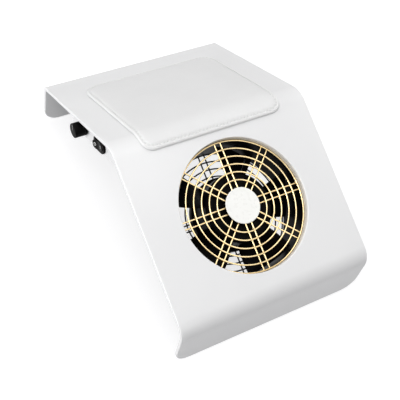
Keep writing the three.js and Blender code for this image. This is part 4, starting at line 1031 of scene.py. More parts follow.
@dataclass(frozen=True)
class WoundThread(Finish):
    """Twisted sewing thread, painted darker in the grooves of its twist as painted shade."""

    twist_scale: float = 900.0
    tone: float = 0.8
    depth: float = 0.03

    def dress(self, surface: SurfaceTree) -> None:
        """Builds the finish.

        Args:
            surface: The tree of its material.
        """
        inputs = {"Vector": surface.place, "Scale": self.twist_scale, "Distortion": 1.5}
        twist = surface.out("TexWave", inputs, 1, bands_direction="DIAGONAL")
        # Painted shade: the colour darkens where the twist's relief sinks
        surface.colour(twist, self.shade(self.tone), self.colour)
        surface.gloss(twist, 0.5, 0.66)
        surface.relief((twist, self.depth))
        surface.constant(Sheen_Weight=0.25)


WHITE_SHEET = GlossSheet("polished_white_sheet", Slot.SHEET, (0.86, 0.86, 0.865))
WHITE_BOX = MouldedPlastic(
    "white_moulded_box", Slot.SHEET, (0.85, 0.85, 0.855), 0.34, 0.004, rub=1.01, flow_tone=0.975, shine=0.4)
PAD_LEATHER = GrainedLeather("white_pad_leather", Slot.LEATHER, (0.82, 0.82, 0.82))
PAD_THREAD = WoundThread("white_pad_thread", Slot.LEATHER, (0.9, 0.9, 0.89))
GOLD_WIRE = PlatedWire("gold_plated_wire", Slot.GOLD_WIRE, (0.98, 0.78, 0.44))
DISC_ENAMEL = Lacquer("ivory_disc_enamel", Slot.DISC, (0.98, 0.98, 0.95), tone=0.99, shine=0.5)
BLACK_WIRE = Lacquer("black_wire_lacquer", Slot.BLACK_WIRE, (0.012, 0.012, 0.013), 0.34)
FAN_BLACK = MouldedPlastic(
    "black_fan_plastic", Slot.BLACK_PLASTIC, (0.0032, 0.0027, 0.0026), 0.36, shine=0.03)
BLADE_BLACK = MouldedPlastic(
    "black_blade_plastic", Slot.BLACK_GLOSS, (0.003, 0.0026, 0.0026), 0.3, 0.003, shine=0.04)
KNOB_BLACK = MouldedPlastic("black_knob_plastic", Slot.BLACK_PLASTIC, (0.003, 0.003, 0.003), shine=0.04)
ROCKER_BLACK = MouldedPlastic(
    "black_rocker_plastic", Slot.BLACK_GLOSS, (0.003, 0.003, 0.003), 0.3, 0.003, shine=0.05)
MARK_PALE = Lacquer("pale_mark_paint", Slot.ALUMINIUM, (0.8, 0.8, 0.79), 0.45)
GASKET_FOAM = CellFoam("pale_gasket_foam", Slot.GASKET, (0.74, 0.71, 0.66))
ZINC_STEEL = WorkedMetal("zinc_plated_steel", Slot.STEEL, (0.56, 0.57, 0.6))
SHEET_IRON = WorkedMetal("dark_core_iron", Slot.FERRITE, (0.12, 0.12, 0.125), 0.5, 0.7, 0.5)
DARK_FERRITE = MouldedPlastic("dark_ferrite", Slot.FERRITE, (0.055, 0.055, 0.06), 0.62, 0.02, shine=0.3)
PLAIN_BRASS = WorkedMetal("plain_brass", Slot.BRASS, (0.78, 0.57, 0.25), 0.28)
ENAMELLED_COPPER = WorkedMetal("enamelled_copper", Slot.COPPER, (0.72, 0.28, 0.12), 0.3, line=0.4)
CAST_ALUMINIUM = WorkedMetal("plain_aluminium", Slot.ALUMINIUM, (0.7, 0.71, 0.72), 0.38)
BOARD_GREEN = TracedBoard("green_board", Slot.BOARD, (0.018, 0.13, 0.05))
IVORY_NYLON = MouldedPlastic(
    "ivory_nylon", Slot.CONNECTOR, (0.75, 0.7, 0.58), 0.46, 0.008, rub=1.06, flow_tone=0.9, shine=0.4)
DARK_SLEEVE = SoftSleeve("dark_lead_sleeve", Slot.SLEEVE, (0.022, 0.022, 0.024))


def publish(mesh: Mesh, name: str, body: Body, finish: Finish, *replaced: str) -> bpy.types.Object:
    """Puts a finished mesh in the scene as a piece of the object.

    Args:
        mesh: The mesh, in the row frame.
        name: Name of the piece.
        body: Body that it rides on.
        finish: Its finish.
        replaced: Frame nodes that it stands for.

    Returns:
        The piece.
    """
    mesh.materials.clear()
    mesh.materials.append(finish.material())
    mesh.name = name
    piece = shown(mesh, name)
    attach(piece, body.value)
    if replaced:
        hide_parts(*replaced)
    LOG.info("%s: %d faces on %s", name, len(mesh.polygons), body.value)
    return piece


# Bent sheet


@dataclass(frozen=True)
class SheetForm:
    """The sheet bent like a roof, in millimetres and radians. Height and lengths go to sharp corners."""

    width: float = 188.0
    thickness: float = 3.5
    ridge_height: float = 114.0
    rest_length: float = 152.0
    slope_length: float = 162.0
    rest_tilt: float = radians(26.4)
    slope_tilt: float = radians(23.3)
    bends: Place = (5.0, 25.0, 18.0)
    foot_corner: float = 15.0
    opening_radius: float = 59.0
    opening_down: float = 79.8
    offset: Point = (2.25, 6.320063)

    @property
    def ridge_turn(self) -> float:
        """Angle that the sheet turns over the ridge."""
        return self.rest_tilt + self.slope_tilt

    @property
    def corners(self) -> list[Vector]:
        """Sharp corners of the outer face.

        Returns:
            Points as (y, z), from the rear foot over the ridge to the front foot.
        """
        ridge = Vector((0.0, self.ridge_height))
        rear = ridge + Vector((cos(self.rest_tilt), -sin(self.rest_tilt))) * self.rest_length
        front = ridge - Vector((cos(self.slope_tilt), sin(self.slope_tilt))) * self.slope_length
        return [Vector((rear.x, 0.0)), rear, ridge, front, Vector((front.x, 0.0))]

    def stand_frame(self) -> Matrix:
        """From millimetres under the ridge to metres in the row frame."""
        return Matrix.Scale(MILLIMETRE, 4) @ slid(*self.offset)

    def face_frame(self, tilt: float) -> Matrix:
        """From millimetres on a face with a tilt, with z out of it, to metres in the row frame."""
        return self.stand_frame() @ slid(z=self.ridge_height) @ turned(tilt, "X")

    def rest_frame(self) -> Matrix:
        """The frame of the rear plate."""
        return self.face_frame(-self.rest_tilt)

    def opening_frame(self, depth: float = 0.0) -> Matrix:
        """The slope's frame, from the middle of the opening, so many millimetres under the face."""
        return self.face_frame(self.slope_tilt) @ slid(y=-self.opening_down, z=-depth)

    def wall_frame(self, side: int, back: float, depth: float) -> Matrix:
        """The frame of a seat in the left (-1) or right (1) wall of the control box, z out of the wall."""
        return Matrix(((0, 0, side, 0), (side, 0, 0, back), (0, 1, 0, -depth), (0, 0, 0, 1)))

    def side_view(self, inward: float, steps: int = 22) -> list[Point]:
        """The line of the bent sheet in side view, from the rear foot to the front foot.

        Args:
            inward: Distance inside the outer face.
            steps: Steps in each bend.

        Returns:
            Points as (y, z).
        """
        corners = self.corners
        along = [(after - before).normalized() for before, after in zip(corners, corners[1:])]
        inside = [Vector((-way.y, way.x)) for way in along]
        points = [tuple(corners[0] + inside[0] * inward)]
        for corner, way, before, after, bend in zip(corners[1:], along, inside, inside[1:], self.bends):
            turn, radius = acos(before.dot(after)), bend - inward
            corner = corner + (before + after) * (inward / (1 + before.dot(after)))
            centre = corner - way * (radius * tan(turn / 2)) + before * radius
            points += arc(centre, radius, atan2(-before.y, -before.x), turn, steps)
        return [*points, tuple(corners[-1] + inside[-1] * inward)]

    def outside(self, inward: float, steps: int = 24) -> Mesh:
        """A solid of everything above a line of the sheet, as a cutter.

        Args:
            inward: Distance of the line inside the outer face.
            steps: Steps in each bend.

        Returns:
            The solid.
        """
        far = 3 * self.rest_length
        around = [(-far, -1.0), (-far, far), (far, far), (far, -1.0)]
        return across([*self.side_view(inward, steps), *around], self.width)

    def face_at(self, run: float) -> tuple[Vector, Vector]:
        """A place on the upper face at x = 0.

        Args:
            run: Distance along the face from the middle of the ridge's bend, to the rear.

        Returns:
            The place and the way out of the face.
        """
        bend, half_turn = self.bends[1], self.ridge_turn / 2
        lean, reach = (self.rest_tilt - self.slope_tilt) / 2, bend / cos(half_turn)
        angle = max(-half_turn, min(half_turn, run / bend))
        out = Vector((0.0, sin(angle + lean), cos(angle + lean)))
        centre = Vector((0.0, -reach * sin(lean), self.ridge_height - reach * cos(lean)))
        return centre + out * bend + Vector((0.0, out.z, -out.y)) * (run - angle * bend), out


@dataclass
class BentSheet:
    """The stand itself: one sheet of gloss plastic, bent over the ridge and turned down at both ends."""

    form: SheetForm
    opening_sides: int = 160
    opening_reach: float = 12.0
    edge_round: float = 0.85
    edge_steps: int = 4
    corner_steps: int = 14

    def build(self) -> None:
        """Makes the sheet, with its opening and its rounded feet."""
        form, place = self.form, self.form.stand_frame()
        sheet = across([*form.side_view(0.0), *form.side_view(form.thickness)[::-1]], form.width / 2)
        opening = bar(form.opening_radius, -self.opening_reach, self.opening_reach, self.opening_sides)
        opening = moved(opening, place.inverted() @ form.opening_frame())
        cutters = [opening, self.corner_cutter(1), self.corner_cutter(-1)]
        whole = moved(carved(sheet, [], cutters), place)
        whole = eased(whole, self.edge_round, self.edge_steps)
        publish(whole, "bent_sheet", STAND, WHITE_SHEET, "bent_shell")

    def corner_cutter(self, side: int) -> Mesh:
        """A solid that rounds one corner of both feet.

        Args:
            side: 1 for the right side of the sheet and -1 for the left one.

        Returns:
            The solid.
        """
        radius, edge, reach = self.form.foot_corner, self.form.width / 2, self.form.slope_length
        middle, far = edge - radius, edge + OVER
        outline = arc((middle, radius), radius, 0.0, -pi / 2, self.corner_steps)
        outline += [(middle, -OVER), (far, -OVER), (far, radius)]
        turn = Matrix(((side, 0, 0, 0), (0, 0, 1, 0), (0, 1, 0, 0), (0, 0, 0, 1)))
        return reworked(moved(prism(outline, -reach, reach), turn), face_out)


# Hand pad


def ways_round(spots: Sequence[Vector]) -> list[Vector]:
    """The ways along a closed row of places, one at each."""
    before, after = [spots[-1], *spots], [*spots[1:], spots[0]]
    return [(on - back).normalized() for back, on in zip(before, after)]


@dataclass
class HandPad:
    """The stitched pad that the hand rests on, filled with foam and bent over the ridge, in millimetres.

    Its layers are its edge section as (inset, height over the sheet), from the underside round the rolled
    edge and over the seam.
    """

    sheet: SheetForm
    width: float = 137.0
    rear: float = 121.0
    front: float = 13.0
    rear_corner: float = 17.0
    front_corner: float = 11.0
    layers: tuple[Point, ...] = (
        (6.0, 0.35), (1.4, 0.32), (0.5, 0.42), (0.12, 0.75), (0.0, 1.2), (0.1, 1.75), (0.4, 2.2),
        (0.85, 2.53), (1.4, 2.72), (1.95, 2.78), (2.4, 2.72), (2.75, 2.58), (3.0, 2.5), (3.3, 2.5),
        (3.6, 2.6), (4.0, 2.8), (4.7, 3.02), (5.8, 3.2))
    fullness: float = 0.85
    seam_inset: float = 3.1
    seam_height: float = 2.6
    stitch_pitch: float = PAD_LEATHER.stitch_pitch
    stitch_length: float = 2.4
    thread: float = 0.36
    dip: float = 0.6
    corner_steps: int = 14
    row_pitch: float = 2.4
    columns: int = 58
    pressure: float = 4.0
    stiffness: float = 12.0
    bending_stiffness: float = 2.0
    frames: int = 20
    cloth_scale: float = 10.0

    def build(self) -> None:
        """Makes the pad and the thread of its seam."""
        mesh = closed_skins([self.grid(*layer) for layer in self.layers], self.columns)
        self.mark_seam(mesh)
        self.fill(mesh)
        work = shown(mesh)
        soft = work.modifiers.new("soft_faces", "SUBSURF")
        soft.levels = soft.render_levels = 1
        cover = smoothed(evaluated(work), angle=180)
        pad = publish(cover, "hand_pad", STAND, PAD_LEATHER, "hand_pad_cover", "hand_pad_foam")
        publish(self.stitches(), "hand_pad_stitches", STAND, PAD_THREAD)

    def side(self, inset: float) -> list[Point]:
        """The right side of the outline, drawn in by inset.

        Args:
            inset: Distance inside the edge.

        Returns:
            Points as (half width, run along the face), from the front edge to the rear edge.
        """
        bend, half_turn, half = self.sheet.bends[1], self.sheet.ridge_turn / 2, self.width / 2
        flat = bend * (half_turn - tan(half_turn))
        start = self.front_corner - self.front - flat
        end = self.rear + flat - self.rear_corner
        ends = ((self.front_corner, start, -pi / 2), (self.rear_corner, end, 0.0))
        low, high = (
            arc((half - corner, run), corner - inset, angle, pi / 2, self.corner_steps)
            for corner, run, angle in ends)
        count = round((end - start) / self.row_pitch)
        between = [(half - inset, start + (end - start) * step / count) for step in range(1, count)]
        return [*low, *between, *high]

    def place(self, x: float, run: float, height: float) -> Vector:
        """A point over the sheet's face, in metres in the row frame."""
        spot, out = self.sheet.face_at(run)
        return self.sheet.stand_frame() @ (spot + out * height + Vector((x, 0.0, 0.0)))

    def grid(self, inset: float, height: float) -> list[Vector]:
        """Even points across the pad, row by row, over the outline drawn in by inset."""
        shares = [2 * column / (self.columns - 1) - 1 for column in range(self.columns)]
        return [self.place(half * share, run, height) for half, run in self.side(inset) for share in shares]

    def seam(self) -> tuple[list[Vector], list[Vector]]:
        """The seam as even points, one for each stitch.

        Returns:
            The points and the ways out of the face there, in the row frame.
        """
        half = self.side(self.seam_inset)
        loop = [*half, *[(-x, run) for x, run in reversed(half)]]
        ends = [*loop[1:], loop[0]]
        lengths = [dist(here, after) for here, after in zip(loop, ends)]
        count = round(sum(lengths) / self.stitch_pitch)
        spots, outs = [], []
        travelled, number = 0.0, 0
        for stitch in range(count):
            wanted = sum(lengths) * stitch / count
            while travelled + lengths[number] < wanted:
                travelled += lengths[number]
                number += 1
            share = (wanted - travelled) / lengths[number]
            x, run = Vector(loop[number]).lerp(Vector(ends[number]), share)
            spots.append(self.place(x, run, self.seam_height))
            outs.append(self.sheet.face_at(run)[1])
        return spots, outs

    def mark_seam(self, mesh: Mesh) -> None:
        """Writes each corner's distance along and from the seam on the mesh, in millimetres.

        Args:
            mesh: The cover, changed in place.
        """
        spots, runs = self.seam()[0], []
        ways, whole = ways_round(spots), len(spots) * self.stitch_pitch
        run = mesh.attributes.new("seam_run", "FLOAT", "CORNER")
        side = mesh.attributes.new("seam_side", "FLOAT", "POINT")
        for corner in mesh.vertices:
            reaches = [(corner.co - spot).length_squared for spot in spots]
            number = reaches.index(min(reaches))
            offset = (corner.co - spots[number]) / MILLIMETRE
            step = offset.dot(ways[number])
            runs.append(number * self.stitch_pitch + step)
            side.data[corner.index].value = sqrt(max(offset.length_squared - step**2, 0.0))
        for face in mesh.polygons:
            first = runs[face.vertices[0]]
            for loop, corner in zip(face.loop_indices, face.vertices):
                run.data[loop].value = runs[corner] - whole * round((runs[corner] - first) / whole)

    def fill(self, mesh: Mesh) -> None:
        """Lets the filling lift the cover inside its seam, by cloth under pressure, up to the fullness.

        Args:
            mesh: The cover, changed in place.
        """
        inset, height = self.layers[-1]
        places, columns = self.grid(inset, height), self.columns
        last, edges = len(places) - columns, (0, columns - 1)
        field, faces = bpy.data.meshes.new("field"), []
        for row in range(0, last, columns):
            for here in range(row, row + edges[1]):
                faces.append((here, here + 1, here + 1 + columns, here + columns))
        field.from_pydata([spot * self.cloth_scale for spot in places], [], faces)
        work, numbers = shown(field), range(len(places))
        rim = [here for here in numbers if not columns <= here < last or here % columns in edges]
        work.vertex_groups.new(name="edge").add(rim, 1.0, "REPLACE")
        cloth = work.modifiers.new("fill", "CLOTH")
        settings = cloth.settings
        settings.vertex_group_mass = "edge"
        settings.use_pressure, settings.uniform_pressure_force = True, self.pressure
        settings.effector_weights.gravity = 0.0
        settings.tension_stiffness = settings.compression_stiffness = self.stiffness
        settings.bending_stiffness = self.bending_stiffness
        cloth.point_cache.frame_start, cloth.point_cache.frame_end = 1, self.frames
        for number in range(1, self.frames + 1):
            bpy.context.scene.frame_set(number)
        lifted = [corner.co / self.cloth_scale for corner in evaluated(work).vertices]
        bpy.context.scene.frame_set(1)
        lifts = [(lift - spot).length for lift, spot in zip(lifted, places)]
        LOG.info("pad field rose by up to %.2f mm", max(lifts) / MILLIMETRE)
        share = self.fullness * MILLIMETRE / (max(lifts) or 1.0)
        outs = [self.sheet.face_at(run)[1] for _, run in self.side(inset) for _ in range(columns)]
        for corner, spot, out, lift in zip(list(mesh.vertices)[-len(places):], places, outs, lifts):
            corner.co = spot + out * share * lift

    def stitches(self) -> Mesh:
        """The thread: an arched stitch on each point of the seam, which dips into the leather at its ends.

        Returns:
            The mesh, in the row frame.
        """
        spots, outs = self.seam()
        mesh = bpy.data.meshes.new("stitch_points")
        mesh.from_pydata(spots, [], [])
        for name, vectors in (("way", ways_round(spots)), ("up", outs)):
            values = [value for vector in vectors for value in vector]
            mesh.attributes.new(name, "FLOAT_VECTOR", "POINT").data.foreach_set("vector", values)
        tree = FormTree("stitches")
        length, thread, dip = tree.inputs("Float", "Length", "Thread", "Dip")
        half, low = tree.product(length, 0.5), tree.product(dip, -1.0)
        ends = {
            "Resolution": 6, "Start": tree.vector(tree.product(half, -1.0), z=low),
            "Middle": tree.vector(z=dip), "End": tree.vector(half, z=low)}
        arch = tree.out("CurveQuadraticBezier", ends)
        turn = {}
        for name, axes in (("way", {"axis": "X"}), ("up", {"axis": "Z", "pivot_axis": "X"})):
            wanted = tree.out("InputNamedAttribute", {"Name": name}, data_type="FLOAT_VECTOR")
            turned_on = tree.out("FunctionNodeAlignRotationToVector", {**turn, "Vector": wanted}, **axes)
            turn = {"Rotation": turned_on}
        points = tree.out("MeshToPoints", {0: tree.start})
        made = tree.copies(points, tree.tube(arch, thread, sides=6), turned_on)
        sizes = {"length": self.stitch_length, "thread": self.thread, "dip": self.dip}
        metres = {name: size * MILLIMETRE for name, size in sizes.items()}
        return tree.run(made, PAD_THREAD, mesh, **metres)


# Wire guards


@dataclass
class WireGuard:
    """A guard of concentric rings and double spokes. Every other spoke is a hairpin round a stud.

    Its depth is that of its rings under the slope's face and its spoke_height that of the spokes over the
    rings. Its inner_ring is the radius of the ring behind the disc, or none.
    """

    sheet: SheetForm
    name: str
    node: str
    finish: Finish
    depth: float
    spoke_height: float
    inner_ring: float = 0.0
    wire: float = 0.7
    first_ring: float = 22.9
    ring_pitch: float = 7.0
    rings: int = 6
    spokes: int = 4
    spread: float = 5.8
    stud_radius: float = 105.0 / sqrt(2)
    ring_sides: int = 144
    inner_sides: int = 96
    bow_steps: int = 18
    wire_sides: int = 10

    def build(self) -> None:
        """Bends and lays out the wires in the opening."""
        sizes = {
            "First Radius": self.first_ring, "Ring Pitch": self.ring_pitch,
            "Inner Radius": self.inner_ring, "Wire Radius": self.wire, "Spread": self.spread,
            "Spoke Height": self.spoke_height,
            "Spoke Start": (self.inner_ring or self.first_ring) - self.wire,
            "Spoke End": self.first_ring + (self.rings - 1) * self.ring_pitch + self.wire / 2,
            "Hairpin End": self.stud_radius}
        tree = FormTree(self.name + "_wires")
        (count,) = tree.inputs("Int", "Rings")
        first, pitch, inner, wire, spread, height, start, end, reach = tree.inputs("Float", *sizes)
        radius = tree.math("ADD", first, tree.product(tree.index, pitch))
        points, even = tree.out("Points", {"Count": count}), tree.vector(radius, radius, 1.0)
        rings = tree.copies(points, tree.circle(1.0, self.ring_sides), scale=even)
        compare = {"data_type": "FLOAT", "operation": "GREATER_THAN"}
        present = tree.out("FunctionNodeCompare", {0: inner, 1: 0.0}, **compare)
        ring = {"Switch": present, "True": tree.circle(inner, self.inner_sides)}
        hidden = tree.out("Switch", ring, input_type="GEOMETRY")
        half = tree.product(spread, 0.5)
        sides = (half, tree.product(half, -1.0))
        short, long = (
            [self.spoke(tree, start, far, side, height) for side in sides] for far in (end, reach))
        turn = {"Resolution": self.bow_steps, "Radius": half, "Start Angle": -pi / 2, "Sweep Angle": pi}
        bow = tree.placed(tree.out("CurveArc", turn, mode="RADIUS"), tree.vector(reach, 0.0, height))
        cross = tree.round_axis(tree.together(*short), self.spokes)
        diagonal = tree.round_axis(tree.together(*long, bow), self.spokes, pi / self.spokes)
        wires = tree.tube(tree.together(rings, hidden, cross, diagonal), wire, self.wire_sides)
        values = {name.lower().replace(" ", "_"): size for name, size in sizes.items()}
        mesh = tree.run(wires, self.finish, rings=self.rings, **values)
        mesh = moved(mesh, self.sheet.opening_frame(self.depth))
        publish(mesh, self.name, STAND, self.finish, self.node)

    @staticmethod
    def spoke(tree: FormTree, start: Socket, end: Socket, side: Socket, height: Socket) -> Socket:
        """One straight wire along X, so far to the side and so high."""
        ends = {"Start": tree.vector(start, side, height), "End": tree.vector(end, side, height)}
        return tree.out("CurvePrimitiveLine", ends)


@dataclass
class CentreDisc:
    """The blank enamelled disc on the middle of the front guard, with a rolled edge and a faint crown."""

    sheet: SheetForm
    radius: float = 15.9
    thickness: float = 1.2
    depth: float = 5.6
    crown: float = 0.15
    back_bevel: Point = (0.15, 0.25)
    front_bevel: Point = (0.5, 0.35)
    rim_width: float = 1.6
    rim_round: float = 0.35
    dome_shares: tuple[float, ...] = (0.7, 0.5, 0.3, 0.15)

    def build(self) -> None:
        """Makes the disc."""
        top, edge = self.thickness, self.radius
        (back, low), (front, high) = self.back_bevel, self.front_bevel
        rim = [(0.0, 0.0), (edge - back, 0.0), (edge, low), (edge, top - high), (edge - front, top)]
        rim = softened([*rim, (edge - self.rim_width, top - self.crown)], self.rim_round)
        dome = [(edge * share, top - self.crown * share * share) for share in self.dome_shares]
        mesh = smoothed(revolved([*rim, *dome, (0.0, top)], segments=128), angle=40)
        place = self.sheet.opening_frame(self.depth)
        publish(moved(mesh, place), "centre_disc", STAND, DISC_ENAMEL, "guard_centre_disc")


# Fan


@dataclass
class AxialFan:
    """The fan under the opening, in millimetres and radians. Its z = 0 is the front face of its frame.

    Its mouth flares by so much over a depth, and starts so far inside the bore. Its hub's ring is the groove
    in the hub's face, from an inner to an outer radius.
    """

    sheet: SheetForm
    depth: float = 8.7
    side: float = 120.0
    length: float = 38.0
    bore: float = 58.0
    bore_sides: int = 128
    wall: float = 1.7
    flange: float = 4.5
    corner: float = 6.0
    mouth_flare: float = 1.1
    mouth_depth: float = 2.4
    mouth_start: float = 0.2
    mouth_round: float = 2.0
    hole_pitch: float = 105.0
    hole: float = 2.3
    base: float = 34.0
    base_thickness: float = 3.0
    tube_seat: Point = (7.8, 2.0)
    collar: float = 6.0
    collar_wall: float = 1.6
    strut: float = 5.0
    struts: int = 4
    hub: float = 31.0
    hub_start: float = 3.0
    hub_length: float = 28.0
    hub_wall: float = 2.0
    hub_shoulder: float = 2.2
    hub_ring: Point = (12.0, 14.7)
    ring_slope: float = 0.5
    ring_depth: float = 0.35
    hub_rounds: tuple[float, ...] = (0.3, 0.3, 0.3, 0.3, 0.6, 1.4)
    boss: float = 5.0
    boss_length: float = 7.5
    shaft_room: float = 2.3
    tip: float = 56.4
    blades: int = 5
    blade_start: float = 3.6
    blade_length: float = 27.5
    blade_thickness: float = 2.2
    blade_steps: tuple[int, int] = (14, 22)
    root_sink: float = 0.8
    tip_trim: float = 0.06
    trim_ends: float = 1.6
    taper: float = 0.35
    edge: float = 0.22
    swell: float = 0.6
    twist: float = radians(42)
    camber: float = radians(3)
    rest_angle: float = radians(70)

    def build(self) -> None:
        """Makes the frame and the rotor."""
        place = self.sheet.opening_frame(self.depth)
        housing = eased(moved(self.housing(), place), width=0.35)
        publish(housing, "fan_housing", STAND, FAN_BLACK, "fan_frame")
        columns = self.blade_steps[1] + 1
        blade = closed_skins([self.blade_side(-1), self.blade_side(1)], columns)
        rotor = joined(self.hub_cap(), round_axis(blade, BLADE_BLACK, self.blades, self.rest_angle))
        rotor = smoothed(moved(rotor, place), angle=32)
        publish(rotor, "fan_rotor_blades", Body.FAN, BLADE_BLACK, "impeller")

    def housing(self) -> Mesh:
        """The square frame with its barrel, bell mouth, motor base and struts.

        Returns:
            The mesh, with z = 0 on its front face.
        """
        back, half_pitch = -self.length, self.hole_pitch / 2
        lip, low = self.bore + self.mouth_flare, -self.mouth_depth
        mouth = [(0.0, low), (self.bore - self.mouth_start, low), (lip, 0.0), (lip, OVER), (0.0, OVER)]
        mouth = revolved(softened(mouth, [0.0, self.mouth_round, 0.0], steps=6), self.bore_sides)
        outline = oblong(self.side, self.side, self.corner)
        rear_flange = prism(outline, back, self.flange + back)
        barrel = bar(self.bore + self.wall, back, 0.0, self.bore_sides)
        inside = bar(self.bore, back - OVER, OVER, self.bore_sides)
        holes = at_four(bar(self.hole, back - OVER, OVER, sides=24), (half_pitch, half_pitch))
        walls = carved(prism(outline, -self.flange, 0.0), [rear_flange, barrel], [inside, mouth, *holes])
        inner, outer = self.base - self.collar_wall / 2, self.bore + self.wall / 2
        beam = block((inner, -self.strut / 2, back), (outer, self.strut / 2, self.collar + back))
        struts = round_axis(beam, FAN_BLACK, self.struts, pi / self.struts)
        return carved(walls, [self.motor_base(back), struts], [])

    def motor_base(self, back: float) -> Mesh:
        """The round plate behind the motor, with its collar and the seat of the bearing tube.

        Args:
            back: Height of the frame's rear face.

        Returns:
            The mesh.
        """
        floor, (seat, sink) = back + self.base_thickness, self.tube_seat
        room = bar(self.base - self.collar_wall, floor, OVER, sides=96)
        plate = bar(self.base, back, self.collar + back, sides=96)
        return carved(plate, [], [room, bar(seat, floor - sink, OVER, sides=48)])

    def hub_cap(self) -> Mesh:
        """The cup over the motor, with a rounded shoulder and a shallow ring on its face.

        Returns:
            The mesh.
        """
        front, hub, slope = -self.hub_start, self.hub, self.ring_slope
        roof, end, low = front - self.hub_wall, front - self.hub_length, front - self.ring_depth
        inner, outer = self.hub_ring
        face = [(0.0, front), (inner, front), (inner + slope, low), (outer - slope, low), (outer, front)]
        rim = [(hub - self.hub_shoulder, front), (hub, front - self.hub_shoulder), (hub, end)]
        outside = softened([*face, *rim], self.hub_rounds, steps=6)
        inner, boss_end = hub - self.hub_wall, roof - self.boss_length
        inside = [(inner, end), (inner, roof), (self.boss, roof), (self.boss, boss_end)]
        bore = [(self.shaft_room, boss_end), (self.shaft_room, roof), (0.0, roof)]
        return revolved([*outside, *inside, *bore], self.bore_sides)

    def blade_side(self, side: int) -> list[Place]:
        """One face of a blade: a vane that twists round the hub from front to back, thin at both edges.

        Args:
            side: -1 or 1.

        Returns:
            Its grid of points, from the hub to the tip.
        """
        root, (radial, axial), places = self.hub - self.root_sink, self.blade_steps, []
        for out in [step / radial for step in range(radial + 1)]:
            radius, trim = root + out * (self.tip - root), self.tip_trim * out * out
            narrow = (1 - self.taper * out) * (0.5 if out == 1 else 1.0)
            for line in range(axial + 1):
                back = trim + (1 - self.trim_ends * trim) * line / axial
                middle = self.twist * (0.5 - back) + self.camber * sin(pi * back)
                share = self.edge + (1 - self.edge) * sin(pi * line / axial) ** self.swell
                angle = middle + side * self.blade_thickness * share * narrow / 2 / radius
                height = -self.blade_start - back * self.blade_length
                places.append((radius * cos(angle), radius * sin(angle), height))
        return places


@dataclass
class FanFixings:
    """The four studs under the slope and their flange nuts. Heights are depths under the slope's face.

    A stud's foot is given as radius and thickness, and its neck as two radii and a length. A nut is given by
    the radius of its corners and its height, its flange by radius and thickness, and its chamfer by two
    radii and a rise.
    """

    sheet: SheetForm
    pitch: float = 105.0
    radius: float = 1.9
    foot: Point = (6.0, 1.2)
    neck: Place = (3.0, 1.5, 1.2)
    foot_rounds: tuple[float, ...] = (0.3, 0.4, 0.5, 0.2)
    sink: float = 0.6
    top: float = 3.8
    end: float = 53.3
    nut_top: float = 48.7
    hexagon: Point = (4.0, 3.4)
    flange: Point = (4.6, 1.0)
    flange_slope: float = 0.5
    chamfer: Place = (3.45, 4.15, 0.45)
    bore: float = 2.2
    nut_rounds: Place = (0.1, 0.3, 0.2)
    overlap: float = 0.2

    def build(self) -> None:
        """Makes the studs and the nuts."""
        kinds = ((self.stud(), "fan_studs", "fan_stud_"), (self.nut(), "fan_nuts", "stud_nut_"))
        for form, name, node in kinds:
            mesh = at_corners(form, ZINC_STEEL, self.pitch, self.pitch)
            mesh = smoothed(moved(mesh, self.sheet.opening_frame()))
            publish(mesh, name, STAND, ZINC_STEEL, *[node + corner for corner in CORNERS])

    def stud(self) -> Mesh:
        """One stud on its round foot.

        Returns:
            The mesh.
        """
        (radius, thickness), (wide, slim, length) = self.foot, self.neck
        low = -self.top - thickness
        foot = [(0.0, -self.top), (radius, -self.top), (radius, low), (wide, low), (slim, low - length)]
        foot = revolved(softened([*foot, (0.0, low - length)], self.foot_rounds), segments=48)
        return joined(foot, thread(self.radius, -self.end, -self.top - self.sink))

    def nut(self) -> Mesh:
        """One hexagon nut with a flange and chamfered corners.

        Returns:
            The mesh.
        """
        (corner, height), (wide, thick), (start, end, rise) = self.hexagon, self.flange, self.chamfer
        top, slope = -self.nut_top, self.flange_slope
        low, back = top - height, top - thick
        ring = [(start, low), (end, low + rise), (2 * end, low + rise), (2 * end, low - 1.0)]
        ring = revolved([*ring, (self.radius, low - 1.0), (start, low)], segments=48)
        flange = [(0.0, top), (wide, top), (wide, top - slope), (wide - thick, back), (0.0, back)]
        flange = revolved(softened(flange, self.nut_rounds), segments=48)
        hexagon = carved(bar(corner, low, top - self.overlap, sides=6), [], [ring])
        return carved(hexagon, [flange], [bar(self.bore, low - OVER, 0.0, sides=32)])


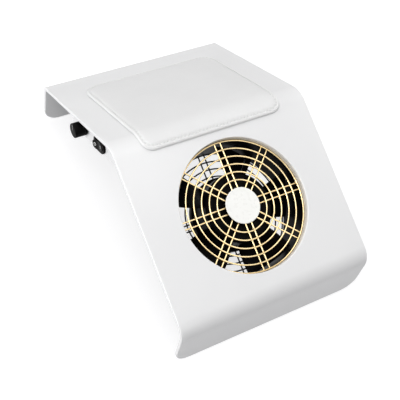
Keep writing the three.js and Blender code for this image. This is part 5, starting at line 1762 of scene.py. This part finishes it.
@dataclass
class StatorCoils:
    """The four coils on the motor's poles, wound turn by turn, and the ring of wire that links them."""

    sheet: SheetForm
    depth: float = 8.7
    middle: float = 22.0
    start: float = 12.65
    poles: int = 4
    turns: int = 11
    pitch: float = 0.59
    layers: int = 4
    half_width: float = 4.6
    half_height: float = 6.65
    bend: float = 1.2
    bend_steps: int = 4
    wire: float = 0.27
    wire_sides: int = 6
    link: float = 14.1
    link_drop: float = 6.85

    def build(self) -> None:
        """Winds the coils."""
        sizes = {
            "Pitch": self.pitch, "Start": self.start, "Half Width": self.half_width,
            "Half Height": self.half_height, "Wire Radius": self.wire, "Link Radius": self.link,
            "Link Drop": self.link_drop}
        tree = FormTree("coil_turns")
        turns, layers = tree.inputs("Int", "Turns", "Layers")
        pitch, start, width, height, wire, link, drop = tree.inputs("Float", *sizes)
        out = tree.math("ADD", start, tree.product(tree.math("MODULO", tree.index, turns), pitch))
        points = tree.out("Points", {"Count": tree.product(turns, layers), "Position": tree.vector(out)})
        grown = tree.product(tree.math("FLOOR", tree.math("DIVIDE", tree.index, turns)), pitch)
        wide, high = (tree.math("ADD", 1.0, tree.math("DIVIDE", grown, size)) for size in (width, height))
        sides = {"Width": tree.product(height, 2.0), "Height": tree.product(width, 2.0)}
        loop = tree.out("CurvePrimitiveQuadrilateral", sides)
        rounds = {"Curve": loop, "Count": self.bend_steps, "Radius": self.bend}
        bent = tree.placed(tree.out("FilletCurve", rounds, mode="POLY"), rotation=(0.0, pi / 2, 0.0))
        coil = tree.copies(points, bent, scale=tree.vector(1.0, wide, high))
        ring = tree.placed(tree.circle(link, sides=64), tree.vector(z=tree.product(drop, -1.0)))
        lines = tree.together(tree.round_axis(coil, self.poles), ring)
        wires = tree.out("CurveToMesh", {0: lines, 1: tree.circle(wire, self.wire_sides)})
        values = {name.lower().replace(" ", "_"): size for name, size in sizes.items()}
        mesh = tree.run(wires, ENAMELLED_COPPER, turns=self.turns, layers=self.layers, **values)
        place = self.sheet.opening_frame(self.depth + self.middle)
        publish(moved(mesh, place), "stator_coil_turns", STAND, ENAMELLED_COPPER, "stator_windings")


# Controls


@dataclass(frozen=True)
class Seats:
    """Where the controls sit in the box, as (distance behind the ridge's corner, depth under the plate).

    The fan's lead passes the front wall so far to the right and so deep.
    """

    knob: Point = (73.5, 13.4)
    switch: Point = (41.5, 16.8)
    inlet: Point = (60.0, 14.0)
    wall: float = 86.0
    board: Point = (10.0, 55.0)
    board_half: Point = (35.0, 25.0)
    board_top: float = 17.6
    fan_lead: Point = (20.0, 18.6)


@dataclass
class ControlBox:
    """The moulded box under the rear plate, open at its top and front, with rounded edges.

    Its toe is a corner of a cheek, as (down the slope, under the slope), and its nose the front end of one.
    Its posts and their threaded holes are given by radius and height. The holes for round pieces are given
    by their radius, and the switch's hole by length, width and corner.
    """

    sheet: SheetForm
    seats: Seats
    depth: float = 25.5
    wall: float = 2.0
    front: float = 6.0
    rear: float = 104.0
    rear_corner: float = 9.0
    knee: float = 10.0
    toe: Point = (19.0, 19.0)
    nose: float = 26.0
    front_rounds: Point = (3.0, 2.5)
    floor_round: float = 1.0
    edge_round: float = 0.45
    post: Point = (3.0, 4.0)
    thread_hole: Point = (1.3, 8.0)
    post_inset: float = 4.0
    screw_half: Point = (76.0, 37.0)
    screw_hole: float = 1.6
    knob_hole: float = 4.5
    switch_hole: Place = (19.6, 13.4, 6.4)
    inlet_hole: float = 5.8
    lead_hole: float = 3.0

    @property
    def floor(self) -> float:
        """Height of the box's inner floor."""
        return self.wall - self.depth

    @property
    def middle(self) -> Point:
        """Middle of the box's floor."""
        return 0.0, (self.front + self.rear) / 2

    def build(self) -> None:
        """Makes the box and the screws that hold it."""
        place, (radius, height), (half_x, half_y) = self.sheet.rest_frame(), self.post, self.screw_half
        posts = self.at_board(bar(radius, self.floor - 1.0, self.floor + height, sides=32))
        box = moved(carved(self.walls(), posts, [*self.rooms(), *self.holes()]), place)
        publish(eased(box, self.edge_round), "control_box", STAND, WHITE_BOX, "control_tray")
        screws = at_corners(PanScrew().form(), ZINC_STEEL, 2 * half_x, 2 * half_y)
        screws = smoothed(moved(screws, place @ slid(*self.middle, -self.depth - GAP)))
        nodes = ["tray_screw_" + corner for corner in CORNERS]
        publish(screws, "control_box_screws", STAND, ZINC_STEEL, *nodes)

    def from_slope(self, down: float, depth: float) -> Point:
        """A point given down the slope and under its face, as (y, z) in the rear plate's frame."""
        cosine, sine = cos(self.sheet.ridge_turn), sin(self.sheet.ridge_turn)
        return depth * sine - down * cosine, -down * sine - depth * cosine

    def walls(self) -> Mesh:
        """The outer form of the box, from the plate down.

        Returns:
            The solid.
        """
        outline = [(self.rear, OVER), (self.rear, -self.depth), (self.knee, -self.depth)]
        outline += [self.from_slope(*self.toe), self.from_slope(self.nose, 0.0)]
        outline += [self.from_slope(self.nose, -2 * OVER), (0.0, OVER)]
        outline = softened(outline, [self.rear_corner, *self.front_rounds, 0.0, 0.0], steps=8)
        return across(outline, self.seats.wall)

    def rooms(self) -> list[Mesh]:
        """What is cut out: the inside, the room before the front wall, and all above the sheet's underside.

        Returns:
            The cutters.
        """
        rear, low, front = self.rear - self.wall, self.floor, self.front + self.wall
        room = [(rear, OVER), (rear, low), (front, low), (front, OVER)]
        room = softened(room, [self.rear_corner - self.wall, self.floor_round], steps=8)
        to_rest = self.sheet.rest_frame().inverted() @ self.sheet.stand_frame()
        inner = self.seats.wall - self.wall
        ahead = block((-inner, -self.rear, -2 * self.depth), (inner, self.front, OVER))
        above = moved(self.sheet.outside(self.sheet.thickness + GAP), to_rest)
        return [across(room, inner), ahead, above]

    def at_board(self, solid: Mesh) -> list[Mesh]:
        """Copies of a solid at the board's four holes."""
        half_x, half_y = (half - self.post_inset for half in self.seats.board_half)
        return at_four(solid, (half_x, half_y), self.seats.board)

    def holes(self) -> list[Mesh]:
        """All holes of the box: for screws, controls, the inlet and the fan's lead.

        Returns:
            The cutters.
        """
        seats, seat = self.seats, self.sheet.wall_frame
        low, high = seats.wall - OVER, seats.wall + OVER
        length, width, corner = self.switch_hole
        right, down = seats.fan_lead
        lead = slid(right, self.front, -down) @ turned(-pi / 2, "X")
        screw = bar(self.screw_hole, -OVER - self.depth, OVER - self.depth, sides=32)
        radius, deep = self.thread_hole
        return [
            *at_four(screw, self.screw_half, self.middle),
            *self.at_board(bar(radius, self.floor, self.floor + deep, sides=24)),
            moved(bar(self.knob_hole, low, high, sides=48), seat(-1, *seats.knob)),
            moved(prism(oblong(length, width, corner), low, high), seat(-1, *seats.switch)),
            moved(bar(self.inlet_hole, low, high, sides=48), seat(1, *seats.inlet)),
            moved(bar(self.lead_hole, -OVER, OVER, sides=32), lead)]


@dataclass
class SpeedKnob:
    """The black speed knob: a smooth cap with a rounded rim, a ring groove and a painted pointer.

    Its ring is the groove in its face, from an inner to an outer radius. Its band is the groove in its side,
    as heights over its base. Its pointer's slot is given by half its width, its start and its depth, and the
    paint in it by its width, its ends' corner and the depths of its floor and face.
    """

    sheet: SheetForm
    seats: Seats
    radius: float = 6.75
    length: float = 11.5
    standoff: float = 1.0
    rim: float = 0.8
    skirt: float = 6.05
    skirt_depth: float = 3.0
    bore: float = 3.3
    face: float = 2.2
    ring: Point = (4.55, 5.35)
    ring_slope: float = 0.2
    ring_depth: float = 0.3
    face_round: float = 0.1
    band_round: float = 0.05
    skirt_round: float = 0.25
    band: tuple[float, ...] = (2.0, 1.85, 1.55, 1.4)
    band_depth: float = 0.2
    slot: Place = (0.5, 0.6, 0.5)
    paint: Point = (0.8, 0.3)
    paint_ends: float = 1.4
    paint_shift: float = 0.1
    paint_depths: Point = (0.55, 0.12)

    def build(self) -> None:
        """Makes the knob and its pointer."""
        place = self.sheet.rest_frame() @ self.sheet.wall_frame(-1, *self.seats.knob)
        base, radius = self.seats.wall + self.standoff, self.radius
        top, (half, start, deep) = base + self.length, self.slot
        groove = block((-half, start, top - deep), (half, radius + 1.0, top + 1.0))
        cap = carved(revolved(self.profile(base, top)), [], [groove])
        publish(smoothed(moved(cap, place)), "speed_knob_cap", Body.DIAL, KNOB_BLACK, "speed_knob")
        (width, corner), (low, high) = self.paint, self.paint_depths
        line = prism(oblong(width, radius - self.paint_ends, corner, steps=6), top - low, top - high)
        line = moved(line, place @ slid(y=radius / 2 + self.paint_shift))
        publish(eased(line, width=0.08), "speed_knob_pointer", Body.DIAL, MARK_PALE)

    def profile(self, base: float, top: float) -> list[Point]:
        """The cap's section, from the middle of its face round its rim and skirt to its bore.

        Args:
            base: Height of its open end.
            top: Height of its face.

        Returns:
            Points as (radius, height).
        """
        radius, skirt, slope = self.radius, self.skirt, self.ring_slope
        (inner, outer), low, slim = self.ring, top - self.ring_depth, radius - self.band_depth
        face = [(0.0, top), (inner, top), (inner + slope, low), (outer - slope, low), (outer, top)]
        side = [(reach, base + height) for reach, height in zip((radius, slim, slim, radius), self.band)]
        rounds = [self.face_round] * 4 + [self.rim] + [self.band_round] * 4 + [self.skirt_round]
        outside = softened([*face, (radius, top), *side, (radius, base), (skirt, base)], rounds)
        floor, roof = base + self.skirt_depth, top - self.face
        return [*outside, (skirt, floor), (self.bore, floor), (self.bore, roof), (0.0, roof)]


@dataclass
class RockerSwitch:
    """The oval rocker switch: a bezel with its body in the wall, and a rocker with a ring and a line on it.

    Its bezel and body are given as length, width and thickness. Its rocker's valley stands proud of the
    bezel, and each of its two faces rises from there by the angle that the rocker tilts. The ring is given
    by its two radii and the line by its width, length and corner.
    """

    sheet: SheetForm
    seats: Seats
    bezel: Place = (21.0, 14.5, 2.0)
    body: Place = (19.0, 12.8, 14.0)
    border: float = 2.2
    play: float = 1.2
    pivot_depth: float = 3.0
    pin: float = 1.0
    pin_length: float = 1.0
    proud: float = 0.5
    angle: float = radians(9)
    keel: float = 4.6
    keel_half: float = 2.5
    end_height: float = 2.0
    valley: float = 14.0
    keel_round: float = 0.6
    end_round: float = 0.35
    ring: Point = (1.0, 1.5)
    line: Place = (0.55, 2.8, 0.2)
    mark_place: float = 0.29
    mark_heights: Point = (-0.3, 0.06)
    end_steps: int = 20

    @property
    def face(self) -> float:
        """Distance of the bezel's face from the middle of the box."""
        return self.seats.wall + GAP + self.bezel[2]

    @property
    def rocker_size(self) -> Point:
        """Length and width of the rocker."""
        length, width = (size - 2 * self.border - 2 * GAP for size in self.bezel[:2])
        return length - self.play, width

    def build(self) -> None:
        """Makes the housing, the rocker and its marks."""
        place = self.sheet.rest_frame() @ self.sheet.wall_frame(-1, *self.seats.switch)
        tilted = place @ slid(z=self.face - self.pivot_depth) @ turned(self.angle, "Y")
        housing = eased(moved(self.housing(), place), width=0.4, segments=3)
        publish(housing, "switch_bezel", STAND, KNOB_BLACK, "switch_housing")
        rocker = eased(moved(self.rocker(), tilted), width=0.45, segments=3)
        publish(rocker, "switch_rocker_cap", Body.ROCKER, ROCKER_BLACK, "switch_rocker")
        publish(smoothed(moved(self.marks(), tilted)), "switch_rocker_marks", Body.ROCKER, MARK_PALE)

    def oval(self, length: float, width: float, low: float, high: float) -> Mesh:
        """A solid with two round ends between two heights."""
        return prism(oblong(length, width, steps=self.end_steps), low, high)

    def housing(self) -> Mesh:
        """The bezel and the body, with the pocket and the holes of the pins.

        Returns:
            The mesh.
        """
        (length, width, _), (inner, narrow, deep), foot = self.bezel, self.body, self.seats.wall + GAP
        body = self.oval(inner, narrow, self.seats.wall - deep, foot)
        pivot, open_by = self.face - self.pivot_depth, 2 * self.border
        floor = pivot - self.keel - self.play
        pocket = self.oval(length - open_by, width - open_by, floor, self.face + OVER)
        reach = self.rocker_size[1] / 2 + self.pin_length + GAP
        pins = moved(bar(self.pin + GAP, -reach, reach, sides=24), slid(z=pivot) @ turned(pi / 2, "X"))
        return carved(self.oval(length, width, foot, self.face), [body], [pocket, pins])

    def rocker(self) -> Mesh:
        """The rocker, upright on its pins: two faces that rise from a soft valley to both ends.

        Returns:
            The mesh.
        """
        (length, width), top, keel = self.rocker_size, self.pivot_depth + self.proud, self.keel_half
        half, end, turn = length / 2, top + length / 2 * tan(self.angle), turned(pi / 2, "X")
        low, start = end - self.end_height, (-keel, -self.keel)
        profile = [start, (keel, -self.keel), (half, low), (half, end), (0.0, top), (-half, end)]
        rounds = [self.keel_round, 0.0, self.end_round, self.valley, self.end_round, 0.0]
        profile = softened([*profile, (-half, low), start], rounds, steps=8)[:-1]
        outer, reach = prism(oblong(4 * length, 4 * length, radius=1.0), -2 * OVER, 2 * OVER), width / 2
        around = carved(outer, [], [self.oval(length, width, -3 * OVER, 3 * OVER)])
        form = carved(moved(prism(profile, -reach, reach), turn), [], [around])
        reach += self.pin_length
        return carved(form, [moved(bar(self.pin, -reach, reach, sides=24), turn)], [])

    def marks(self) -> Mesh:
        """The ring on the rear end and the line on the front end, just proud of the faces.

        Returns:
            The mesh.
        """
        along, (low, high) = self.rocker_size[0] * self.mark_place, self.mark_heights
        rise = self.pivot_depth + self.proud + along * tan(self.angle)
        inner, outer = self.ring
        ring = [(inner, low), (outer, low), (outer, high), (inner, high), (inner, low)]
        ring = revolved(ring, segments=48)
        line = prism(oblong(*self.line), low, high)
        for mark, side in ((ring, -1), (line, 1)):
            moved(mark, slid(side * along, 0.0, rise) @ turned(-side * self.angle, "Y"))
        return joined(ring, line)


@dataclass
class PowerInlet:
    """The round power inlet in the right wall. Its flange, body and bore are given by radius and length.

    Its lip is the groove round the bore, as (distance outside the bore, depth under the face).
    """

    sheet: SheetForm
    seats: Seats
    flange: Point = (7.0, 1.6)
    body: Point = (5.5, 16.0)
    bore: Point = (2.9, 10.0)
    lip: tuple[Point, ...] = ((1.1, 0.0), (1.0, 0.25), (0.4, 0.25), (0.0, 0.7))
    rounds: tuple[float, ...] = (0.5, 0.0, 0.2, 0.6, 0.1, 0.1, 0.1, 0.1, 0.3)

    def build(self) -> None:
        """Makes the inlet."""
        foot = self.seats.wall + GAP
        (wide, thick), (radius, length), (bore, deep) = self.flange, self.body, self.bore
        face = foot + thick
        outside = [(0.0, face - length), (radius, face - length), (radius, foot), (wide, foot), (wide, face)]
        lip = [(bore + out, face - low) for out, low in self.lip]
        profile = softened([*outside, *lip, (bore, face - deep), (0.0, face - deep)], self.rounds)
        place = self.sheet.rest_frame() @ self.sheet.wall_frame(1, *self.seats.inlet)
        socket = smoothed(moved(revolved(profile, segments=72), place))
        publish(socket, "power_inlet_socket", STAND, KNOB_BLACK, "power_inlet")


# Leads


def smooth_path(points: Sequence[Vector], steps: int) -> list[Vector]:
    """A centripetal curve through points.

    Args:
        points: The points.
        steps: Steps from each point to the next.

    Returns:
        Places along the curve.
    """
    line = [2 * points[0] - points[1], *points, 2 * points[-1] - points[-2]]
    made = []
    for first, start, end, last in zip(line, line[1:], line[2:], line[3:]):
        pairs = ((first, start), (start, end), (end, last))
        back, here, on = (sqrt(dist(one, other)) for one, other in pairs)
        before = ((start - first) / back - (end - first) / (back + here) + (end - start) / here) * here
        after = ((end - start) / here - (last - start) / (here + on) + (last - end) / on) * here
        square, cube = 3 * (end - start) - 2 * before - after, 2 * (start - end) + before + after
        for share in [step / steps for step in range(steps)]:
            made.append(start + before * share + square * share**2 + cube * share**3)
    return [*made, points[-1]]


@dataclass
class Leads:
    """The soft leads between the controls, the fan and the board.

    The signal and power connectors are given by their middles as shares of the board's half sizes. Their two
    mouths lie by the shift to both sides of the middle. A start is the distance inside the wall, and for the
    knob also that under its axis. The fan's lead leaves the barrel's radius at a depth under the slope.
    """

    sheet: SheetForm
    seats: Seats
    radius: float = 1.1
    fan_radius: float = 1.3
    mouth: float = 3.0
    handle: float = 5.0
    signal: Point = (-0.88, 0.0)
    power: Point = (0.3, -0.84)
    shift: float = 4.0
    mouth_sink: float = 0.8
    mouth_height: float = 3.55
    knob_start: Point = (14.6, 3.6)
    inlet_start: float = 14.4
    switch_start: float = 22.2
    sleeve_start: float = 14.6
    sleeve_half: Place = (8.2, 5.1, 3.6)
    blade_slot: Place = (7.3, 0.7, 2.7)
    blade_shift: float = 3.5
    barrel: float = 59.7
    barrel_gap: float = 0.6
    barrel_depth: float = 18.0
    straight: tuple[float, ...] = (4.0, 6.0, 8.0, 12.0)

    def build(self) -> None:
        """Makes the four leads."""
        right, rear, seats = Vector((1.0, 0.0, 0.0)), Vector((0.0, 1.0, 0.0)), self.seats
        inside, under = self.knob_start
        knob = self.behind(seats.knob, inside - seats.wall, under)
        switch = self.behind(seats.switch, self.switch_start - seats.wall)
        inlet = self.behind(seats.inlet, seats.wall - self.inlet_start)
        sleeve = self.sleeve(self.behind(seats.switch, self.sleeve_start - seats.wall))
        near, far = (self.end(self.signal, side * self.shift, True) for side in (-1, 1))
        third = self.end(self.power, self.shift, False)
        self.lead("speed_control_lead", "speed_lead", self.route(knob, right, near, right))
        self.lead("switch_cable", "switch_lead", self.route(switch, right, far, right), sleeve)
        self.lead("inlet_cable", "inlet_lead", self.route(inlet, -right, third, rear))
        self.lead("fan_cable", "fan_lead", self.fan_route(), radius=self.fan_radius, steps=12)

    def behind(self, seat: Point, across_box: float, under: float = 0.0) -> Vector:
        """A place behind a seat in a side wall, in the rear plate's frame."""
        return Vector((across_box, seat[0], -seat[1] - under))

    def end(self, shares: Point, mouth: float, turned_left: bool) -> Vector:
        """The floor of a connector's mouth.

        Args:
            shares: Middle of the connector, as shares of the board's half sizes.
            mouth: Distance of the mouth from the connector's middle.
            turned_left: Whether the connector's mouths look to the left.

        Returns:
            The place.
        """
        (x, y), (half_x, half_y), sink = self.seats.board, self.seats.board_half, -self.mouth_sink
        right, back = (sink, -mouth) if turned_left else (mouth, sink)
        height = self.mouth_height - self.seats.board_top
        return Vector((x + shares[0] * half_x + right, y + shares[1] * half_y + back, height))

    def route(self, start: Vector, start_way: Vector, end: Vector, end_way: Vector) -> list[Vector]:
        """The points that a thin lead passes, from one straight end to the other."""
        near = end - end_way * self.mouth
        return [start, start + start_way * self.handle, near - end_way * self.handle, near, end]

    def fan_route(self) -> list[Vector]:
        """The points that the fan's lead passes, from the barrel through the grommet to its connector.

        Returns:
            The points, in the rear plate's frame.
        """
        (right, depth), ease = self.seats.fan_lead, self.straight[0]
        reach = sqrt(self.barrel**2 - right**2) + self.barrel_gap
        to_rest = self.sheet.rest_frame().inverted() @ self.sheet.opening_frame(self.barrel_depth)
        out = [to_rest @ Vector((right, reach + more, 0.0)) for more in (0.0, ease)]
        through = [Vector((right, y, -depth)) for y in self.straight]
        end = self.end(self.power, -self.shift, False)
        return [*out, *through, end - Vector((0.0, ease, 0.0)), end]

    def sleeve(self, back: Vector) -> Mesh:
        """The push-on sleeve over both switch blades, with its wall at the lead's side.

        Args:
            back: Middle of its open end.

        Returns:
            The mesh.
        """
        (length, half, high), (deep, slim, tall) = self.sleeve_half, self.blade_slot
        middles = (-self.blade_shift, self.blade_shift)
        slots = [block((-OVER, middle - slim, -tall), (deep, middle + slim, tall)) for middle in middles]
        return moved(carved(block((0.0, -half, -high), (length, half, high)), [], slots), slid(*back))

    def lead(
        self, name: str, node: str, points: Sequence[Vector], *more: Mesh, radius: float = 0.0,
        steps: int = 16,
    ) -> None:
        """Makes one lead.

        Args:
            name: Name of the piece.
            node: Frame node that it stands for.
            points: Points that it passes.
            more: Other forms that are part of it.
            radius: Its radius, where it isn't a thin lead.
            steps: Steps between two points.
        """
        places = smooth_path(points, steps)
        line = bpy.data.meshes.new("line")
        line.from_pydata(places, [(here, here + 1) for here in range(len(places) - 1)], [])
        tree = FormTree("lead")
        tube = tree.tube(tree.out("MeshToCurve", {0: tree.start}), *tree.inputs("Float", "Radius"), sides=16)
        mesh = joined(tree.run(tube, DARK_SLEEVE, line, radius=radius or self.radius), *more)
        mesh = smoothed(moved(mesh, self.sheet.rest_frame()), angle=40)
        publish(mesh, name, STAND, DARK_SLEEVE, node)


# Kept forms


@dataclass(frozen=True)
class KeptForms:
    """Small pieces of one finish whose solids are right as packed, with the round of their edges."""

    finish: Finish
    rounds: dict[str, float]
    body: Body = STAND

    def build(self) -> None:
        """Makes an edge-rounded copy of every solid."""
        for node, width in self.rounds.items():
            solid = reworked(joined(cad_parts[node].data), merge, flatten)
            publish(eased(solid, width), node + "_form", self.body, self.finish, node)


KEPT_FORMS = (
    KeptForms(GASKET_FOAM, {"fan_gasket": 0.4}),
    KeptForms(DARK_FERRITE, {"rotor_magnet_ring": 0.3}, Body.FAN),
    KeptForms(ZINC_STEEL, {"fan_shaft": 0.2, "shaft_clip": 0.12}, Body.FAN),
    KeptForms(PLAIN_BRASS, {
        "bearing_tube": 0.2, "switch_terminal_front": 0.12, "switch_terminal_rear": 0.12,
        "inlet_pin": 0.3}),
    KeptForms(ZINC_STEEL, {
        "front_bearing": 0.25, "rear_bearing": 0.25, "potentiometer_nut": 0.25, "inlet_nut": 0.3,
        "board_screw_front": 0.2, "board_screw_rear": 0.2}),
    KeptForms(SHEET_IRON, {"stator_core": 0.2}),
    KeptForms(BOARD_GREEN, {"motor_board": 0.12, "control_board": 0.12}),
    KeptForms(WHITE_BOX, {"tray_boss_" + corner: 0.3 for corner in CORNERS}),
    KeptForms(CAST_ALUMINIUM, {"speed_potentiometer": 0.25, "heat_sink": 0.15}),
    KeptForms(CAST_ALUMINIUM, {"potentiometer_shaft": 0.3}, Body.DIAL),
    KeptForms(DARK_SLEEVE, {"smoothing_capacitor": 0.5, "lead_grommet": 0.3}),
    KeptForms(KNOB_BLACK, {"power_transistor": 0.25}),
    KeptForms(DARK_FERRITE, {"filter_choke": 0.8}),
    KeptForms(IVORY_NYLON, {"signal_connector": 0.25, "power_connector": 0.25}),
)


# Studio


@dataclass(frozen=True)
class Camera:
    """The photograph's camera in the row frame, with its focal length on a sensor 36 mm wide."""

    place: Place = (-0.29731, -0.34526, 0.62049)
    forward: Place = (0.3966, 0.4429, -0.8041)
    up: Place = (0.3040, 0.7631, 0.5703)
    lens: float = 72.07
    sensor: float = 36.0
    clip: Point = (0.01, 20.0)

    def build(self) -> None:
        """Makes the camera and gives it to the scene."""
        data = bpy.data.cameras.new("view_of_photo")
        data.lens, data.sensor_width, data.sensor_fit = self.lens, self.sensor, "AUTO"
        data.clip_start, data.clip_end = self.clip
        back = -Vector(self.forward).normalized()
        side = Vector(self.up).cross(back).normalized()
        axes = Matrix((side, back.cross(side), back)).transposed().to_4x4()
        camera = shown(data, "view_of_photo")
        camera.matrix_world = slid(*self.place) @ axes
        bpy.context.scene.camera = camera


@dataclass(frozen=True)
class Lamp:
    """A soft square lamp, by place and width in metres and power in watts, that looks at the object."""

    name: str
    place: Place
    size: float
    power: float
    aim: Place = (0.0, 0.0, 0.05)

    def build(self) -> None:
        """Makes the lamp."""
        data = bpy.data.lights.new(self.name, "AREA")
        data.shape, data.size, data.energy = "SQUARE", self.size, self.power
        lamp = shown(data, self.name)
        lamp.location = self.place
        lamp.rotation_euler = (Vector(self.aim) - Vector(self.place)).to_track_quat("-Z", "Y").to_euler()


@dataclass
class Studio:
    """Plain pale surroundings: a floor that looks white but keeps the object's shadow, and soft lamps."""

    floor_half: float = 3.0
    floor_level: float = -0.0003
    floor_glow: float = 0.72
    floor_colour: Place = (0.42, 0.42, 0.43)
    world_level: float = 0.2
    lamps: tuple[Lamp, ...] = (
        Lamp("left_lamp", (-1.3, 0.0, 0.2), 0.5, 9.0),
        Lamp("high_left_lamp", (-0.6, -0.3, 1.1), 0.7, 4.8),
        Lamp("top_lamp", (0.0, 0.0, 1.3), 0.9, 4.3),
        Lamp("rear_lamp", (-0.1, 0.8, 1.1), 0.9, 3.1),
        Lamp("right_lamp", (1.0, 0.0, 0.8), 0.8, 3.2),
        Lamp("front_lamp", (0.0, -1.2, 0.6), 0.8, 1.6))

    def build(self) -> None:
        """Makes the floor, the lamps and the world."""
        self.floor()
        for lamp in self.lamps:
            lamp.build()
        world = bpy.data.worlds.new("pale_room")
        tree = self.tree(world)
        background = {"Color": (1.0, 1.0, 1.0, 1.0), "Strength": self.seen(tree, 1.0, self.world_level)}
        tree.out("OutputWorld", {0: tree.out("Background", background)})
        bpy.context.scene.world = world
        bpy.context.scene.view_settings.view_transform = "Standard"

    def floor(self) -> None:
        """Makes the floor. Where the camera looks at it or sees it mirrored, it is lifted to white."""
        half, level, mesh = self.floor_half, self.floor_level, bpy.data.meshes.new("floor")
        corners = [(-half, -half, level), (half, -half, level), (half, half, level), (-half, half, level)]
        mesh.from_pydata(corners, [], [(0, 1, 2, 3)])
        mesh.materials.append(bpy.data.materials.new("pale_floor"))
        tree = self.tree(mesh.materials[0])
        matt = tree.out("BsdfDiffuse", {0: (*self.floor_colour, 1.0)})
        glow = tree.out("Emission", {"Strength": self.seen(tree, self.floor_glow, 0.0)})
        tree.out("OutputMaterial", {0: tree.out("AddShader", {0: matt, 1: glow})})
        shown(mesh, "floor")

    @staticmethod
    def tree(owner: bpy.types.Material | bpy.types.World) -> Tree:
        """An empty tree for a material or a world.

        Args:
            owner: What the tree belongs to.

        Returns:
            The tree.
        """
        owner.use_nodes = True
        owner.node_tree.nodes.clear()
        return Tree(owner.node_tree, "ShaderNode")

    @staticmethod
    def seen(tree: Tree, seen: float, lit: float) -> Socket:
        """A level that is one value where a surface is looked at or mirrored, and another as light.

        Args:
            tree: The tree.
            seen: Level to the camera and in mirrored and refracted views.
            lit: Level as light.

        Returns:
            The level's socket.
        """
        camera, glossy, through = (
            tree.out("LightPath", number=f"Is {ray} Ray") for ray in ("Camera", "Glossy", "Transmission"))
        total = tree.math("MAXIMUM", tree.math("MAXIMUM", camera, glossy), through)
        return tree.span(total, lit, seen, 0.0, 1.0)


def main() -> None:
    """Builds the object's pieces in order, then its surroundings."""
    logging.basicConfig(level=logging.INFO, format="%(message)s")
    sheet, seats = SheetForm(), Seats()
    Camera().build()
    BentSheet(sheet).build()
    HandPad(sheet).build()
    WireGuard(sheet, "front_guard", "inlet_guard", GOLD_WIRE, 6.6, -1.1, inner_ring=10.0).build()
    CentreDisc(sheet).build()
    WireGuard(sheet, "rear_guard", "outlet_guard", BLACK_WIRE, 48.8, 1.1).build()
    for mounted in (AxialFan, FanFixings, StatorCoils):
        mounted(sheet).build()
    for control in (ControlBox, SpeedKnob, RockerSwitch, PowerInlet, Leads):
        control(sheet, seats).build()
    for forms in KEPT_FORMS:
        forms.build()
    Studio().build()


if __name__ == "__main__":
    main()
